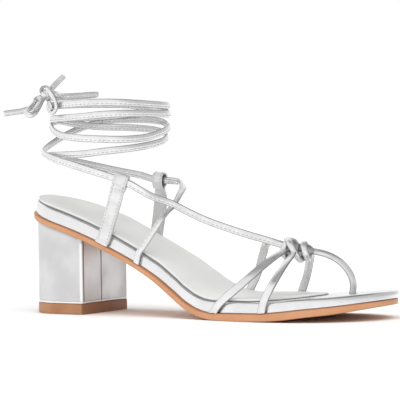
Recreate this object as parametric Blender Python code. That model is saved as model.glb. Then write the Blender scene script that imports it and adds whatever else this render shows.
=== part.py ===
"""Heeled sandal for the right foot: block heel, knotted vamp straps and a tied ankle wrap.

The tables and sizes are in millimetres and the meshes in metres, +Z up. The origin is the middle of
the heel lift's ground face. +X runs to the toe and +Y to the inner side of the foot.
"""
import math
from collections import namedtuple

import bmesh
import bpy
from mathutils import Vector

MM = 0.001
GAP = 0.3
UP = Vector((0.0, 0.0, 1.0))

# Sole: plan ends, insets of the layers from the outsole's edge, and edge radii
HEEL_BACK = -24.5
HEEL_TURN = 2.0
HEEL_POWER = 2.1
TOE_TURN = 156.0
TOE_TIP = 206.4
BED_TIP = 209.2
TOE_POWER = 2.2
END_ANGLES = (7, 17, 28, 39, 51, 63, 76)
SOLE_STEP = 7.0
OUTSOLE_EDGE = 0.7
BED_INSET = 1.6
BED_SHOULDER = 1.8
SOCK_INSET = 3.6
SOCK_TURN = 136.0
SOCK_TIP = 169.0
SOCK_THICK = 1.5
SOCK_EDGE = 0.6

# Heel: a wrapped block on a top lift, flat at the breast
BREAST = 20.5
BLOCK_INSET = 2.2
LIFT_INSET = 1.9
LIFT_THICK = 6.2
LIFT_EDGE = 0.5

# Straps and laces: width and thickness of each folded strip
VAMP_WIDTH = 4.8
LACE_WIDTH = 4.2
STRAP_THICK = 2.0
LACE_THICK = 1.9
TAB_WIDTH = 8.6
TAB_THICK = 2.4
STRIP_STEP = 5.0
CORNER_CUT = 0.55

# Tab loop: a strip folded over the lace, which runs straight on its way in
LOOP_STRIP = 1.2
LOOP_HALF_GAP = 1.45
LOOP_STRAIGHT = 2.2
LOOP_LEAD = 6.0
LOOP_TURN_STEPS = 6

# Ankle wrap: plan ellipse of the turns, turn angle 0 at the back, 90 at the outer side, 180 in front
ANKLE_X = 24.5
ANKLE_LONG = 36.5
ANKLE_WIDE = 30.5
TURN_STEP = 7.5

# Tie: its knot stands outside the back of the wrap, towards the outer side
TIE_TURN = 36.0
TIE_REACH = 3.2
TIE_HEIGHT = 131.0
TIE_CORD = 3.0

SoleRow = namedtuple("SoleRow", "x centre half ground outsole footbed")
SOLE = (
    SoleRow(-24.5, 0.0, 26.2, 58.4, 3.4, 7.5),
    SoleRow(0.0, 0.0, 26.4, 51.2, 3.4, 7.5),
    SoleRow(20.0, -0.2, 26.8, 44.7, 3.3, 7.2),
    SoleRow(40.0, -1.2, 25.3, 36.5, 3.1, 6.8),
    SoleRow(55.0, -2.0, 24.8, 29.6, 3.0, 6.5),
    SoleRow(70.0, -2.8, 25.0, 21.4, 3.2, 6.3),
    SoleRow(84.0, -3.3, 26.3, 11.9, 3.5, 6.3),
    SoleRow(92.0, -3.4, 27.8, 6.7, 3.6, 6.4),
    SoleRow(100.0, -3.2, 29.3, 2.9, 3.7, 6.5),
    SoleRow(108.0, -2.9, 31.2, 0.8, 3.8, 6.4),
    SoleRow(115.0, -2.5, 33.0, 0.0, 4.1, 6.3),
    SoleRow(145.0, 0.0, 38.2, 0.0, 4.7, 6.1),
    SoleRow(158.0, 0.9, 38.4, 1.2, 4.6, 5.9),
    SoleRow(170.0, 1.9, 38.0, 2.8, 4.4, 5.6),
    SoleRow(185.0, 3.6, 36.5, 4.5, 4.2, 5.0),
    SoleRow(208.0, 7.0, 34.0, 8.6, 3.0, 4.2),
)

# A strap's foot on the outsole's ledge, and where it leaves the footbed's shoulder
Foot = namedtuple("Foot", "side ledge_x shoulder_x")
OUTER, INNER = -1, 1
# A point of a strap's middle line; lean turns its face from the outer side (0) over the top (90)
StripRow = namedtuple("StripRow", "x y z lean")

VAMP_STRAPS = (
    (Foot(OUTER, 115.0, 121.0), (
        StripRow(129.0, -35.2, 17.2, 15),
        StripRow(136.7, -30.6, 24.8, 35),
        StripRow(142.0, -22.5, 31.6, 52),
        StripRow(144.8, -12.0, 36.4, 70),
        StripRow(146.0, -3.0, 38.8, 85))),
    (Foot(OUTER, 147.0, 148.6), (
        StripRow(151.4, -37.2, 17.2, 12),
        StripRow(153.6, -32.5, 24.0, 35),
        StripRow(153.6, -22.0, 30.8, 55),
        StripRow(152.0, -10.0, 35.6, 72),
        StripRow(149.0, -2.0, 38.0, 85))),
    (Foot(INNER, 101.5, 104.5), (
        StripRow(109.3, 28.6, 22.0, 165),
        StripRow(114.4, 26.0, 30.0, 148),
        StripRow(121.0, 20.5, 36.8, 130),
        StripRow(131.0, 12.0, 40.6, 110),
        StripRow(142.0, 3.5, 40.2, 95))),
    (Foot(INNER, 133.5, 134.5), (
        StripRow(138.6, 34.6, 20.6, 165),
        StripRow(144.6, 26.4, 28.6, 140),
        StripRow(150.6, 16.0, 34.4, 118),
        StripRow(154.0, 5.0, 37.2, 98))),
)
# The toe strap rises out of a slot in the footbed; lean turns its face from the front (0) to the top
TOE_STRAP = (
    StripRow(178.9, 11.0, 9.0, 0),
    StripRow(179.6, 10.6, 13.6, 2),
    StripRow(180.4, 10.0, 19.0, 6),
    StripRow(178.9, 9.0, 25.0, 25),
    StripRow(174.2, 7.4, 31.2, 48),
    StripRow(167.2, 5.6, 35.4, 66),
    StripRow(158.5, 3.6, 37.6, 82),
    StripRow(151.0, 2.0, 38.2, 90),
)
SLOT_CLEAR = 0.4
SLOT_DEPTH = 20.0

# Knot on the vamp: two wraps around the gathered straps
WrapRow = namedtuple("WrapRow", "x y z radius_y radius_z yaw pitch")
KNOT_WRAPS = (
    WrapRow(144.6, 0.6, 39.2, 4.6, 6.0, 24, 14),
    WrapRow(154.6, 2.6, 37.6, 4.0, 4.6, -18, -16),
)
KNOT_CORES = (
    WrapRow(146.4, 0.8, 38.9, 4.4, 5.4, 0, 0),
    WrapRow(153.8, 2.4, 37.8, 3.6, 4.2, 0, 0),
)
KNOT_CORE_LENGTH = 6.0
KNOT_WRAP_STEPS = 18

# Ankle tabs: foot on the ledge, the middle of the loop, and the lace's way through it
Tab = namedtuple("Tab", "foot loop lace rise")
TABS = {
    "ankle_tab_outer": Tab(Foot(OUTER, 35.6, 38.6), Vector((51.0, -28.3, 79.0)),
                           Vector((-0.88, -0.30, 0.36)), ()),
    "ankle_tab_inner": Tab(Foot(INNER, 42.6, 43.0), Vector((43.2, 27.8, 79.0)),
                           Vector((-0.95, 0.30, 0.09)),
                           (StripRow(44.0, 25.2, 57.7, 176), StripRow(43.9, 27.2, 67.0, 176))),
}

# Instep laces: the long one from the vamp knot to the outer loop, the side one under it
LONG_LACE = (
    StripRow(137.6, 0.6, 42.0, 88),
    StripRow(130.0, -0.6, 44.2, 84),
    StripRow(121.4, -2.2, 46.6, 80),
    StripRow(110.0, -4.4, 50.2, 75),
    StripRow(98.2, -6.8, 54.3, 70),
    StripRow(86.8, -9.2, 59.3, 65),
    StripRow(75.4, -12.3, 64.9, 58),
    StripRow(65.4, -19.4, 70.0, 38),
)
SIDE_FOOT = Foot(OUTER, 59.6, 61.6)
SIDE_LACE = (
    StripRow(65.6, -27.2, 41.7, 10),
    StripRow(71.6, -23.6, 52.0, 28),
    StripRow(74.6, -18.4, 59.4, 45),
    StripRow(75.4, -11.7, 63.9, 60),
    StripRow(73.2, 0.0, 69.8, 90),
    StripRow(69.2, 11.5, 74.6, 125),
    StripRow(62.0, 20.0, 77.4, 155),
    StripRow(53.5, 24.8, 78.4, 170),
)

# Ankle wrap: turn angle, height and how far outside the ellipse each lace runs
TurnRow = namedtuple("TurnRow", "turn z reach")
OUTER_TURNS = (
    TurnRow(103, 85.2, 5.0), TurnRow(84, 89.2, 5.0), TurnRow(59, 93.4, 5.2), TurnRow(42, 95.8, 5.4),
    TurnRow(26, 97.6, 5.4), TurnRow(9, 100.6, 4.6), TurnRow(-8, 104.6, 3.6), TurnRow(-27, 109.8, 3.0),
    TurnRow(-44, 113.7, 3.0), TurnRow(-59, 116.0, 3.0), TurnRow(-74, 116.5, 3.0),
    TurnRow(-95, 116.2, 2.6), TurnRow(-122, 114.5, 1.9), TurnRow(-138, 112.1, 1.5),
    TurnRow(-156, 110.0, 1.2), TurnRow(-173, 108.3, 1.2), TurnRow(-186, 106.4, 1.2),
    TurnRow(-200, 104.5, 1.2), TurnRow(-214, 103.4, 1.2), TurnRow(-231, 103.0, 1.2),
    TurnRow(-249, 103.4, 1.2), TurnRow(-269, 104.2, 1.2), TurnRow(-291, 106.0, 1.2),
    TurnRow(-308, 108.8, 1.2), TurnRow(-325, 111.6, 1.2), TurnRow(-342, 114.0, 1.0),
    TurnRow(-362, 116.2, 0.8), TurnRow(-385, 117.4, 0.7), TurnRow(-408, 118.2, 0.7),
    TurnRow(-430, 119.2, 0.7), TurnRow(-452, 120.5, 0.7), TurnRow(-480, 121.8, 0.8),
    TurnRow(-508, 123.0, 1.2), TurnRow(-543, 123.2, 1.2), TurnRow(-570, 123.8, 1.2),
    TurnRow(-590, 124.5, 1.2), TurnRow(-609, 124.8, 1.2), TurnRow(-629, 124.6, 1.2),
    TurnRow(-657, 124.2, 1.0), TurnRow(-690, 123.9, 0.8),
)
INNER_TURNS = (
    TurnRow(-94, 82.1, 1.0), TurnRow(-72, 84.8, 1.0), TurnRow(-52, 87.7, 1.0), TurnRow(-31, 90.6, 1.0),
    TurnRow(-5, 93.3, 1.2), TurnRow(18, 94.5, 1.4), TurnRow(40, 94.7, 0.8), TurnRow(63, 94.6, 0.0),
    TurnRow(90, 94.8, 0.0), TurnRow(110, 96.0, 0.0), TurnRow(130, 97.2, 0.0), TurnRow(150, 98.6, 0.0),
    TurnRow(179, 101.4, 0.0), TurnRow(205, 104.4, 0.0), TurnRow(221, 107.0, 0.0),
    TurnRow(250, 109.9, 0.0), TurnRow(276, 111.4, 0.0), TurnRow(297, 112.0, 0.0),
    TurnRow(312, 112.5, 0.0), TurnRow(329, 113.8, -0.3), TurnRow(348, 115.2, -0.3),
    TurnRow(372, 116.2, -0.3), TurnRow(395, 116.4, -0.2), TurnRow(420, 116.3, 0.0),
    TurnRow(450, 116.7, 0.0), TurnRow(470, 117.6, 0.0), TurnRow(490, 118.1, 0.0),
    TurnRow(511, 118.2, 0.3), TurnRow(540, 118.1, 1.2), TurnRow(567, 118.3, 1.6),
    TurnRow(595, 120.0, 0.4), TurnRow(630, 124.8, -0.3), TurnRow(660, 126.0, -0.3),
    TurnRow(690, 126.0, -0.3), TurnRow(720, 125.2, -0.3), TurnRow(762, 124.2, -0.3),
)

# Tie cords around the knot's core: to the right, away from the outer side, and up
CordRow = namedtuple("CordRow", "right away up")
TIE_VIEW = 30.0
TIE_CORDS = {
    "tie_end_up": (
        CordRow(3.4, 1.6, 4.4), CordRow(4.6, 7.0, 6.8), CordRow(6.2, 14.0, 8.8),
        CordRow(7.8, 20.0, 10.6), CordRow(9.4, 26.0, 12.4)),
    "tie_end_back": (
        CordRow(-3.6, 4.2, -2.6), CordRow(-10.0, 5.4, -7.2), CordRow(-15.6, 4.4, -9.2),
        CordRow(-21.4, 3.4, -10.0), CordRow(-27.6, 2.4, -10.8)),
    "tie_loop_low": (
        CordRow(-4.6, -1.2, -2.0), CordRow(-9.2, -7.0, -7.4), CordRow(-11.6, -12.4, -11.8),
        CordRow(-12.2, -15.8, -14.4), CordRow(-9.6, -17.0, -15.0), CordRow(-6.6, -15.4, -12.6),
        CordRow(-4.4, -11.6, -8.2), CordRow(-2.8, -6.5, -3.2)),
}
TIE_LOOP_ENDS = (CordRow(-1.6, 6.5, 2.0), CordRow(4.6, 6.0, 0.8))
TIE_LOOP = (
    TurnRow(6, 130.0, 3.4), TurnRow(-14, 130.4, 3.0), TurnRow(-32, 131.1, 2.4),
    TurnRow(-46, 131.8, 1.2), TurnRow(-51, 132.2, -1.6), TurnRow(-43, 132.0, -4.0),
    TurnRow(-24, 131.4, -3.8), TurnRow(-4, 131.0, -2.8),
)
# Half sizes of the knot's core
TIE_CORE = (4.4, 4.0, 4.2)
TIE_BAND_WIDTH = 6.6
TIE_BAND = (
    TurnRow(42, 131.0, 3.2), TurnRow(50, 128.0, 3.5), TurnRow(55, 124.2, 3.25),
    TurnRow(56, 120.8, 3.1), TurnRow(56, 116.5, 2.35), TurnRow(55, 113.0, 2.1))

Finish = namedtuple("Finish", "name colour roughness metallic")
SILVER = Finish("silver_leather", (0.80, 0.80, 0.81), 0.28, 0.85)
SILVER_LACE = Finish("silver_lace", (0.84, 0.84, 0.85), 0.32, 0.80)
SOCK_GREY = Finish("grey_sock", (0.70, 0.70, 0.69), 0.55, 0.0)
TAN = Finish("tan_sole", (0.72, 0.36, 0.17), 0.45, 0.0)
LIFT_TAN = Finish("brown_lift", (0.45, 0.22, 0.10), 0.5, 0.0)


def curve_through(xs, ys, x):
    """Value at x of the monotone cubic through the points."""
    steps = [(ys[i + 1] - ys[i]) / (xs[i + 1] - xs[i]) for i in range(len(xs) - 1)]
    bends = [2 * a * b / (a + b) if a * b > 0 else 0.0 for a, b in zip(steps, steps[1:])]
    slopes = [steps[0]] + bends + [steps[-1]]
    x = min(max(x, xs[0]), xs[-1])
    i = max(k for k in range(len(steps)) if xs[k] <= x)
    span = xs[i + 1] - xs[i]
    t = (x - xs[i]) / span
    rise = ys[i + 1] - ys[i]
    bow = (slopes[i] * span - rise) * (1 - t) + (rise - slopes[i + 1] * span) * t
    return ys[i] + rise * t + bow * t * (1 - t)


def sole(column, x):
    """A column of the sole table at x."""
    return curve_through([row.x for row in SOLE], [getattr(row, column) for row in SOLE], x)


def height(x, stack):
    """Height at x of a layer that lies stack above the ground side, square to the sole's slope."""
    step = 0.5
    slope = (sole("ground", x + step) - sole("ground", x - step)) / (2 * step)
    return sole("ground", x) + stack * math.hypot(1.0, slope)


def outsole_top(x):
    """Height of the outsole's upper face at x."""
    return height(x, sole("outsole", x))


def bed_base(x):
    """Height of the footbed's underside at x, just clear of the outsole."""
    return height(x, sole("outsole", x) + GAP)


def bed_top(x, below=0.0):
    """Height at x of a level below the footbed's upper face."""
    return height(x, sole("outsole", x) + GAP + sole("footbed", x) - below)


def sock_top(x, below=0.0):
    """Height at x of a level below the sock's upper face."""
    return bed_top(x, below - GAP - SOCK_THICK)


def outline(x, inset, turn=TOE_TURN, tip=TOE_TIP):
    """Outer and inner edge of the sole at x, set in by inset."""
    heel = min(1.0, max(0.0, (HEEL_TURN - x) / (HEEL_TURN - HEEL_BACK - inset)))
    toe = min(1.0, max(0.0, (x - turn) / (tip - inset - turn))) if tip > turn else 0.0
    ends = (1 - heel ** HEEL_POWER) ** (1 / HEEL_POWER) * (1 - toe ** TOE_POWER) ** (1 / TOE_POWER)
    half = (sole("half", x) - inset) * ends
    return sole("centre", x) - half, sole("centre", x) + half


def plan(inset, turn=TOE_TURN, tip=TOE_TIP):
    """Rows (x, outer, inner) of the sole's outline set in by inset, from heel to toe."""
    angles = [math.radians(angle) for angle in END_ANGLES]
    count = round((turn - HEEL_TURN) / SOLE_STEP)
    xs = [HEEL_TURN - (HEEL_TURN - HEEL_BACK - inset) * math.cos(angle) for angle in angles]
    xs += [HEEL_TURN + (turn - HEEL_TURN) * i / count for i in range(count + 1)]
    if tip > turn:
        xs += [turn + (tip - inset - turn) * math.cos(angle) for angle in reversed(angles)]
    return [(x, *outline(x, inset, turn, tip)) for x in xs]


def finish_object(obj, finish):
    """Gives an object its material and smooth shading with sharp corners."""
    material = bpy.data.materials.get(finish.name) or bpy.data.materials.new(finish.name)
    material.use_nodes = True
    shader = material.node_tree.nodes["Principled BSDF"]
    shader.inputs["Base Color"].default_value = (*finish.colour, 1.0)
    shader.inputs["Roughness"].default_value = finish.roughness
    shader.inputs["Metallic"].default_value = finish.metallic
    material.diffuse_color = (*finish.colour, 1.0)
    obj.data.materials.clear()
    obj.data.materials.append(material)
    if obj.type == "MESH":
        obj.data.shade_smooth()
        obj.data.set_sharp_from_angle(angle=math.radians(40))


def add_object(name, data, home, finish):
    """New object in its collection, held by the sandal's empty."""
    obj = bpy.data.objects.new(name, data)
    home.objects.link(obj)
    obj.parent = base
    finish_object(obj, finish)
    if home is tools:
        obj.hide_render = True
        obj.display_type = "WIRE"
    return obj


def mesh_from(name, bm, home, finish):
    """Object from a bmesh, with its faces turned outwards."""
    bmesh.ops.recalc_face_normals(bm, faces=bm.faces)
    mesh = bpy.data.meshes.new(name)
    bm.to_mesh(mesh)
    bm.free()
    return add_object(name, mesh, home, finish)


def slab(name, layers, finish, **ends):
    """Layer of the sole through outlines (inset, height function), closed by strips across it."""
    bm = bmesh.new()
    loops = []
    for inset, level in layers:
        rows = plan(inset, **ends)
        outer = [bm.verts.new(Vector((x, left, level(x))) * MM) for x, left, _ in rows]
        inner = [bm.verts.new(Vector((x, right, level(x))) * MM) for x, _, right in rows]
        loops.append((outer, inner))
    rings = [outer + inner[::-1] for outer, inner in loops]
    for low, high in zip(rings, rings[1:]):
        for i in range(len(low)):
            bm.faces.new((low[i - 1], low[i], high[i], high[i - 1]))
    for outer, inner in (loops[0], loops[-1]):
        for i in range(len(outer) - 1):
            bm.faces.new((outer[i], outer[i + 1], inner[i + 1], inner[i]))
    return mesh_from(name, bm, parts, finish)


def edge_layers(inset, radius, level, steps=3):
    """Outlines of a rounded upper edge, from its side to its flat top."""
    turns = [0.5 * math.pi * i / steps for i in range(steps + 1)]
    return [(inset + radius * (1 - math.cos(turn)),
             lambda x, drop=radius * (1 - math.sin(turn)): level(x, drop)) for turn in turns]


def smooth_path(points, step, closed=False):
    """Points about a step apart on a smooth curve through the given vectors (any number of axes)."""
    ends = [points[-1]] + points + points[:2] if closed else (
        [2 * points[0] - points[1]] + points + [2 * points[-1] - points[-2]])
    spots = []
    for before, here, there, after in zip(ends, ends[1:], ends[2:], ends[3:]):
        count = max(1, round((there - here).xyz.length / step))
        for t in (i / count for i in range(count)):
            spots.append(0.5 * (2 * here + (there - before) * t
                                + (2 * before - 5 * here + 4 * there - after) * t ** 2
                                + (3 * here - before - 3 * there + after) * t ** 3))
    return spots if closed else spots + [points[-1]]


def strip_ring(spot, along, face, width, thick):
    """Eight-sided section of a folded strip, flat towards face."""
    face = (face - along * face.dot(along)).normalized()
    across = along.cross(face)
    half, flat = width / 2, thick / 2
    cut = CORNER_CUT * min(1.0, flat)
    corners = ((half, flat - cut), (half - cut, flat), (cut - half, flat), (-half, flat - cut),
               (-half, cut - flat), (cut - half, -flat), (half - cut, -flat), (half, cut - flat))
    return [spot + across * a + face * b for a, b in corners]


def strip(name, spots, faces, width, thick, home, finish, closed=False, seated=False):
    """Solid strip along spots, each with the way it faces; a seated one is cut to the outsole's ledge."""
    bm = bmesh.new()
    last = len(spots) - 1
    rings = []
    for i, (spot, face) in enumerate(zip(spots, faces)):
        ahead = spots[(i + 1) % len(spots)] if closed else spots[min(i + 1, last)]
        behind = spots[i - 1] if closed else spots[max(i - 1, 0)]
        along = (ahead - behind).normalized()
        ring = strip_ring(spot, along, face, width, thick)
        if seated and i == 0:
            for _ in range(3):
                ring = [p + along * (bed_base(p.x) - p.z) / along.z for p in ring]
        rings.append([bm.verts.new(p * MM) for p in ring])
    for here, there in zip(rings, rings[1:] + rings[:1] if closed else rings[1:]):
        for i in range(len(here)):
            bm.faces.new((here[i - 1], here[i], there[i], there[i - 1]))
    if not closed:
        bm.faces.new(rings[0])
        bm.faces.new(rings[-1])
    return mesh_from(name, bm, home, finish)


def wall_spot(foot, x, z, thick):
    """A strap's middle at x against the footbed's side, and the way that side faces."""
    inset = BED_INSET - GAP - thick / 2
    edge = [outline(spot, inset)[foot.side > 0] for spot in (x - 1, x, x + 1)]
    slope = (edge[2] - edge[0]) / 2
    return Vector((x, edge[1], z)), Vector((-foot.side * slope, foot.side, 0)).normalized()


def foot_rows(foot, thick):
    """Two spots of a strap's foot, on the outsole's ledge and at the footbed's shoulder."""
    return [wall_spot(foot, foot.ledge_x, bed_base(foot.ledge_x), thick),
            wall_spot(foot, foot.shoulder_x, bed_top(foot.shoulder_x), thick)]


def lean_rows(rows, aim=Vector((0.0, -1.0, 0.0))):
    """Spots and faces of a strip's rows, leaning from aim to the top."""
    turns = [math.radians(row.lean) for row in rows]
    return [(Vector((row.x, row.y, row.z)), aim * math.cos(turn) + UP * math.sin(turn))
            for row, turn in zip(rows, turns)]


def turn_rows(rows):
    """Spots and faces of rows that wind around the ankle."""
    found = []
    for row in rows:
        turn = math.radians(row.turn)
        face = Vector((-math.cos(turn) / ANKLE_LONG, -math.sin(turn) / ANKLE_WIDE, 0)).normalized()
        spot = Vector((ANKLE_X - (ANKLE_LONG + row.reach) * math.cos(turn),
                       -(ANKLE_WIDE + row.reach) * math.sin(turn), row.z))
        found.append((spot, face))
    return found


def strip_through(name, pairs, width, thick, home, finish, step=STRIP_STEP, seated=False):
    """Strip on a smooth path through spots and faces."""
    joined = [Vector((*spot, *face)) for spot, face in pairs]
    path = smooth_path(joined, step)
    return strip(name, [Vector(p[:3]) for p in path], [Vector(p[3:]) for p in path], width, thick,
                 home, finish, seated=seated)


def unite(obj, others):
    """Joins other solids to an object."""
    for other in others:
        join = obj.modifiers.new("join_" + other.name, "BOOLEAN")
        join.operation = "UNION"
        join.solver = "EXACT"
        join.object = other
    return obj


def ellipsoid(name, middle, radii, home, finish):
    """Scaled sphere."""
    bm = bmesh.new()
    bmesh.ops.create_uvsphere(bm, u_segments=16, v_segments=10, radius=1.0)
    for vert in bm.verts:
        vert.co = (Vector(middle) + Vector([a * b for a, b in zip(vert.co, radii)])) * MM
    return mesh_from(name, bm, home, finish)


def make_sole():
    """Outsole, footbed with the toe strap's slot, and the sock on it."""
    slab("outsole", [(OUTSOLE_EDGE, lambda x: height(x, 0.0)), (0.0, lambda x: height(x, OUTSOLE_EDGE)),
                     (0.0, outsole_top)], TAN)
    bed = slab("footbed", [(BED_INSET, bed_base)] + edge_layers(BED_INSET, BED_SHOULDER, bed_top), SILVER,
               tip=BED_TIP)
    slab("insole_sock", [(SOCK_INSET, lambda x: bed_top(x, -GAP))]
         + edge_layers(SOCK_INSET, SOCK_EDGE, sock_top, steps=2), SOCK_GREY, turn=SOCK_TURN, tip=SOCK_TIP)
    cutter = strip("slot_cutter", *slot_path(), VAMP_WIDTH + 2 * SLOT_CLEAR, STRAP_THICK + 2 * SLOT_CLEAR,
                   tools, SILVER)
    cut = bed.modifiers.new("slot", "BOOLEAN")
    cut.operation = "DIFFERENCE"
    cut.solver = "EXACT"
    cut.object = cutter


def slot_path():
    """Straight way of the toe strap through the footbed."""
    spots = [spot for spot, _ in lean_rows(TOE_STRAP[:2])]
    along = (spots[1] - spots[0]).normalized()
    return [spots[0] - along * SLOT_DEPTH, spots[1] + along * SLOT_DEPTH], [Vector((1, 0, 0))] * 2


def make_heel():
    """Wrapped block and its top lift."""
    slab("heel_block", [(BLOCK_INSET, lambda x: LIFT_THICK + GAP), (BLOCK_INSET, lambda x: height(x, -GAP))],
         SILVER, turn=BREAST, tip=BREAST)
    slab("heel_lift", [(LIFT_INSET + LIFT_EDGE, lambda x: 0.0), (LIFT_INSET, lambda x: LIFT_EDGE),
                       (LIFT_INSET, lambda x: LIFT_THICK)], LIFT_TAN, turn=BREAST, tip=BREAST)


def knot_wrap(name, row):
    """Band wound once around the gathered straps."""
    yaw, pitch = math.radians(row.yaw), math.radians(row.pitch)
    middle = Vector((row.x, row.y, row.z))
    side = Vector((math.sin(yaw), math.cos(yaw), 0))
    rise = Vector((math.sin(pitch), 0, math.cos(pitch)))
    turns = [2 * math.pi * i / KNOT_WRAP_STEPS for i in range(KNOT_WRAP_STEPS)]
    faces = [side * math.cos(t) * row.radius_y + rise * math.sin(t) * row.radius_z for t in turns]
    return strip(name, [middle + face for face in faces], faces, LACE_WIDTH, STRAP_THICK, tools,
                 SILVER_LACE, closed=True)


def make_vamp():
    """Five straps joined in the knot."""
    toe = strip_through("vamp_straps", lean_rows(TOE_STRAP, Vector((1, 0, 0))), VAMP_WIDTH, STRAP_THICK,
                        parts, SILVER_LACE)
    pieces = [strip_through(f"vamp_strap_{i}", foot_rows(foot, STRAP_THICK) + lean_rows(rows), VAMP_WIDTH,
                            STRAP_THICK, tools, SILVER_LACE, seated=True)
              for i, (foot, rows) in enumerate(VAMP_STRAPS)]
    pieces += [knot_wrap(f"knot_wrap_{i}", row) for i, row in enumerate(KNOT_WRAPS)]
    pieces += [ellipsoid(f"knot_core_{i}", (row.x, row.y, row.z),
                         (KNOT_CORE_LENGTH, row.radius_y, row.radius_z), tools, SILVER_LACE)
               for i, row in enumerate(KNOT_CORES)]
    unite(toe, pieces)


def tab_frame(tab):
    """Lace direction, outward face and upward direction of a tab's loop."""
    along = tab.lace.normalized()
    face = Vector((0, tab.foot.side, 0))
    face = (face - along * face.dot(along)).normalized()
    rise = along.cross(face)
    return along, face, rise if rise.z > 0 else -rise


def make_tabs():
    """Ankle tabs, each a doubled strip with a loop at its top."""
    reach = LOOP_HALF_GAP + LOOP_STRIP / 2
    for name, tab in TABS.items():
        along, face, rise = tab_frame(tab)
        top = tab.loop - rise * (LOOP_STRAIGHT + reach - LOOP_STRIP / 4)
        rows = foot_rows(tab.foot, TAB_THICK) + lean_rows(tab.rise) + [(top, face)]
        body = strip_through(name, rows, TAB_WIDTH, TAB_THICK, parts, SILVER, seated=True)
        turns = [math.pi * i / LOOP_TURN_STEPS for i in range(LOOP_TURN_STEPS + 1)]
        bows = [face * math.cos(t) + rise * math.sin(t) for t in turns]
        bows += [-bow for bow in bows]
        ends = [LOOP_STRAIGHT] * len(turns) + [-LOOP_STRAIGHT] * len(turns)
        spots = [tab.loop + rise * end + bow * reach for bow, end in zip(bows, ends)]
        loop = strip(name + "_loop", spots, bows, TAB_WIDTH, LOOP_STRIP, tools, SILVER, closed=True)
        unite(body, [loop])


def lace_end(tab, way):
    """Rows of a lace that ends in the middle of a tab's loop, from the front (-1) or the back (1)."""
    along, face, _ = tab_frame(tab)
    return [(tab.loop + along * way * far, face) for far in (LOOP_LEAD, GAP / 2)]


def make_laces():
    """Instep laces joined where they cross, and the wrap of both laces around the ankle."""
    outer, inner = TABS["ankle_tab_outer"], TABS["ankle_tab_inner"]
    long_lace = strip_through("instep_laces", lean_rows(LONG_LACE) + lace_end(outer, -1), LACE_WIDTH,
                              LACE_THICK, parts, SILVER_LACE)
    side_rows = foot_rows(SIDE_FOOT, LACE_THICK) + lean_rows(SIDE_LACE) + lace_end(inner, -1)
    unite(long_lace, [strip_through("side_lace", side_rows, LACE_WIDTH, LACE_THICK, tools, SILVER_LACE,
                                    seated=True)])
    wraps = [strip_through(name, lace_end(tab, 1)[::-1] + turn_rows(rows), LACE_WIDTH, LACE_THICK, home,
                           SILVER_LACE, step=TURN_STEP)
             for name, tab, rows, home in (("ankle_wrap", outer, OUTER_TURNS, parts),
                                           ("inner_wrap", inner, INNER_TURNS, tools))]
    unite(wraps[0], wraps[1:])


def tie_spot(row):
    """A tie cord's spot from its place beside the knot."""
    view = math.radians(TIE_VIEW)
    knot = turn_rows([TurnRow(TIE_TURN, TIE_HEIGHT, TIE_REACH)])[0][0]
    right = Vector((math.cos(view), math.sin(view), 0))
    away = Vector((-math.sin(view), math.cos(view), 0))
    return knot + right * row.right + away * row.away + UP * row.up


def from_core(spot):
    """The knot's core side on the way to a spot, and a cord's length further out."""
    middle = tie_spot(CordRow(0, 0, 0))
    way = (spot - middle).normalized()
    radius = 1 / math.sqrt(sum((a / b) ** 2 for a, b in zip(way, TIE_CORE)))
    return [middle + way * (radius + GAP + far) for far in (0, TIE_CORD)]


def make_tie():
    """Tie knot with the band that holds the upper turns, and its cords."""
    core = ellipsoid("tie_knot", tie_spot(CordRow(0, 0, 0)), TIE_CORE, parts, SILVER_LACE)
    unite(core, [strip_through("tie_band", turn_rows(TIE_BAND), TIE_BAND_WIDTH, STRAP_THICK, tools,
                               SILVER_LACE)])
    routes = {name: [tie_spot(row) for row in rows] for name, rows in TIE_CORDS.items()}
    first, last = (tie_spot(row) for row in TIE_LOOP_ENDS)
    routes["tie_loop_high"] = [first] + [spot for spot, _ in turn_rows(TIE_LOOP)] + [last]
    for name, route in routes.items():
        closing = from_core(route.pop())[::-1] if "loop" in name else []
        path = smooth_path(from_core(route[0]) + route[1:] + closing, TIE_CORD)
        data = bpy.data.curves.new(name, "CURVE")
        data.dimensions = "3D"
        data.bevel_depth = TIE_CORD / 2 * MM
        data.bevel_resolution = 2
        data.use_fill_caps = True
        line = data.splines.new("POLY")
        line.points.add(len(path) - 1)
        for point, spot in zip(line.points, path):
            point.co = (*(spot * MM), 1.0)
        add_object(name, data, parts, SILVER_LACE)


for old in list(bpy.data.objects):
    bpy.data.objects.remove(old, do_unlink=True)
parts = bpy.data.collections.new("heeled_sandal")
tools = bpy.data.collections.new("cutters_and_joined_strips")
for group in (parts, tools):
    bpy.context.scene.collection.children.link(group)
base = bpy.data.objects.new("sandal", None)
parts.objects.link(base)

make_sole()
make_heel()
make_vamp()
make_tabs()
make_laces()
make_tie()
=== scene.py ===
"""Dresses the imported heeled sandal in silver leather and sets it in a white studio.

Sizes and tables are in millimetres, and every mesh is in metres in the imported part's own frame: the origin
lies under the middle of the heel, +X runs to the toe and +Y to the inner side of the foot.
"""
import logging
import math
from dataclasses import dataclass, field, replace
from enum import Enum
from typing import Callable, NamedTuple, Sequence

import bmesh
import bpy
from mathutils import Matrix, Vector


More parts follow.
